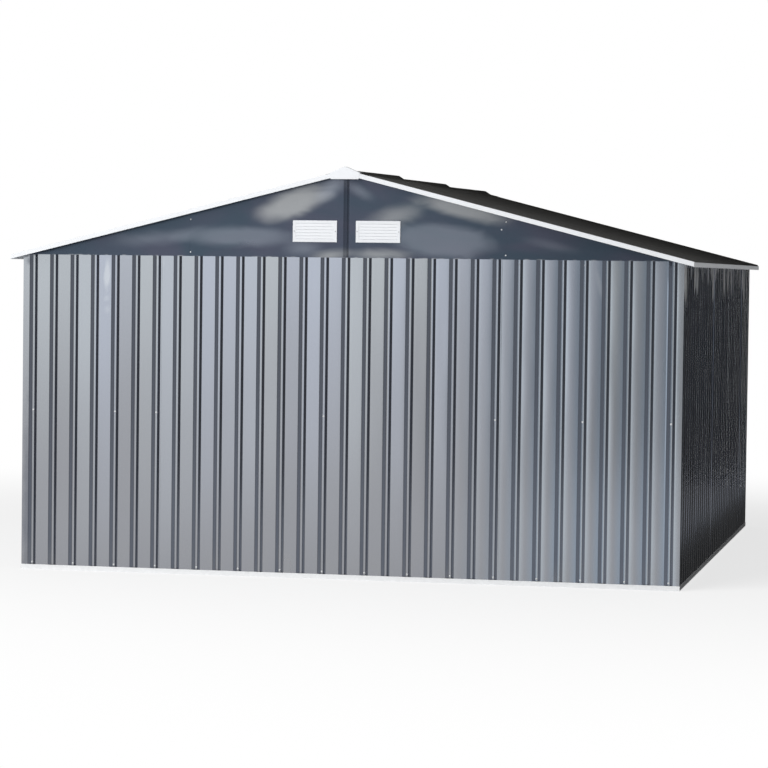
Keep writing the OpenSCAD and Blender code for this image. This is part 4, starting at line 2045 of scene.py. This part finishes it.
    def _gables(self, screw: Finish) -> None:
        """The gable sheets and their vents.

        Args:
            screw: the screws' finish.
        """
        lay = self.lay
        vent = Vent.measured(lay, VentPlastic("white_vent_plastic"), screw)
        dents_and_painted_light = self.gable_dents_and_painted_light()
        paint = GablePaint("slate_gable", lay.wall_h, dents_and_painted_light)
        low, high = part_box("rear_gable_right")
        rail_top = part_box("top_rail_rear")[1].z
        half = GableHalf(lay, paint, vent, dents_and_painted_light, 13 * MM, high.y - low.y - lay.sheet, rail_top)
        for front in ENDS:
            for side in SIDES:
                half.build(self.shop, side, front)
                vent.build(self.shop, side, front)

    def _doors(self) -> None:
        """Both leaves and their track."""
        lay = self.lay
        low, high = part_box("door_right")
        first = low.x + 35 * MM + lay.rib_places(high.x - low.x - 70 * MM)[0]
        handle = HandlePlastic("handle_plastic")
        for side in SIDES:
            paint = SlatePaint(f"slate_door_{side_name(side)}", lay, Run.ALONG_X, side * first, **DULLER)
            SlidingDoor(lay, paint, handle).build(self.shop, side)
        DoorTrack(lay, ZincCoat("zinc_track"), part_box("front_wall_right")[0].x).build(self.shop)

    def _fixings(self, screw: Finish) -> None:
        """Screws of the walls, gables and roof.

        Args:
            screw: the screws' finish.
        """
        lay, stand = self.lay, Stand(self.lay)
        fix = Fixings(lay, screw)
        foot, middle, head = lay.base_z + 0.034, lay.wall_h / 2 + 0.011, lay.wall_h - 0.022
        rear = [(r, foot) for r in range(0, 31, 2)] + [(r, middle) for r in (0, 4, 6, 14, 22, 26, 30)]
        fix.wall(self.shop, "rear_wall_screws", stand.rear(), 0.0, 2 * lay.half_w, rear)
        seam = [(r, head) for r in (23, 26, 30)]
        small = Fixings(lay, ScrewPaint("screw_dull"), 3.0 * MM)
        small.wall(self.shop, "rear_seam_screws", stand.rear(), 0.0, 2 * lay.half_w, seam)
        side = [(r, foot) for r in range(0, 35, 2)] + [(r, middle) for r in (0, 6, 14, 22, 30, 34)]
        for name, place in (("right", stand.right()), ("left", stand.left())):
            fix.wall(self.shop, f"{name}_wall_screws", place, lay.sheet, 2 * lay.half_d - lay.sheet, side)
        run = lay.half_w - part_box("front_wall_right")[0].x
        beside = [(r, z) for r in (0, 2, 4, 6, 8) for z in (foot, head)] + [(r, middle) for r in (0, 8)]
        for name, start in (("right", 0.0), ("left", 2 * lay.half_w - run)):
            fix.wall(self.shop, f"front_wall_{name}_screws", stand.front(), start, start + run, beside)
        for front in ENDS:
            fix.gable(self.shop, front)
        for slope_side in SIDES:
            fix.roof(self.shop, slope_side)

    def _frame_parts(self) -> None:
        """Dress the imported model's own rails, posts and beams, which show as they are."""
        zinc = ZincCoat("zinc_frame").material()
        base = ZincCoat("zinc_base", (0.93, 0.94, 0.95), (0.86, 0.87, 0.88), 0.1).material()
        # The side base rails get a darker, more metallic copy of the zinc as painted shade.
        dark = ZincCoat("zinc_side_base_painted_shade", (0.70, 0.71, 0.72), (0.55, 0.56, 0.57), 0.9).material()
        rails = {"rear": base, "front": base, "left": dark, "right": dark}
        faces = {f"base_rail_{place}": material for place, material in rails.items()}
        for name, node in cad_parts.items():
            if name.startswith(("base_", "corner_", "mid_", "top_", "ridge_beam", "purlin_")):
                node.data.materials.clear()
                node.data.materials.append(faces.get(name, zinc))


def main() -> None:
    """Build the studio and every piece of the shed in order."""
    logging.basicConfig(level=logging.INFO, format="%(name)s %(message)s")
    lay = Layout.measured()
    Viewpoint().build()
    Studio().build()
    shop = Shop()
    Shed(lay, shop).build()
    LOG.info("%d pieces made", shop.made)


if __name__ == "__main__":
    main()
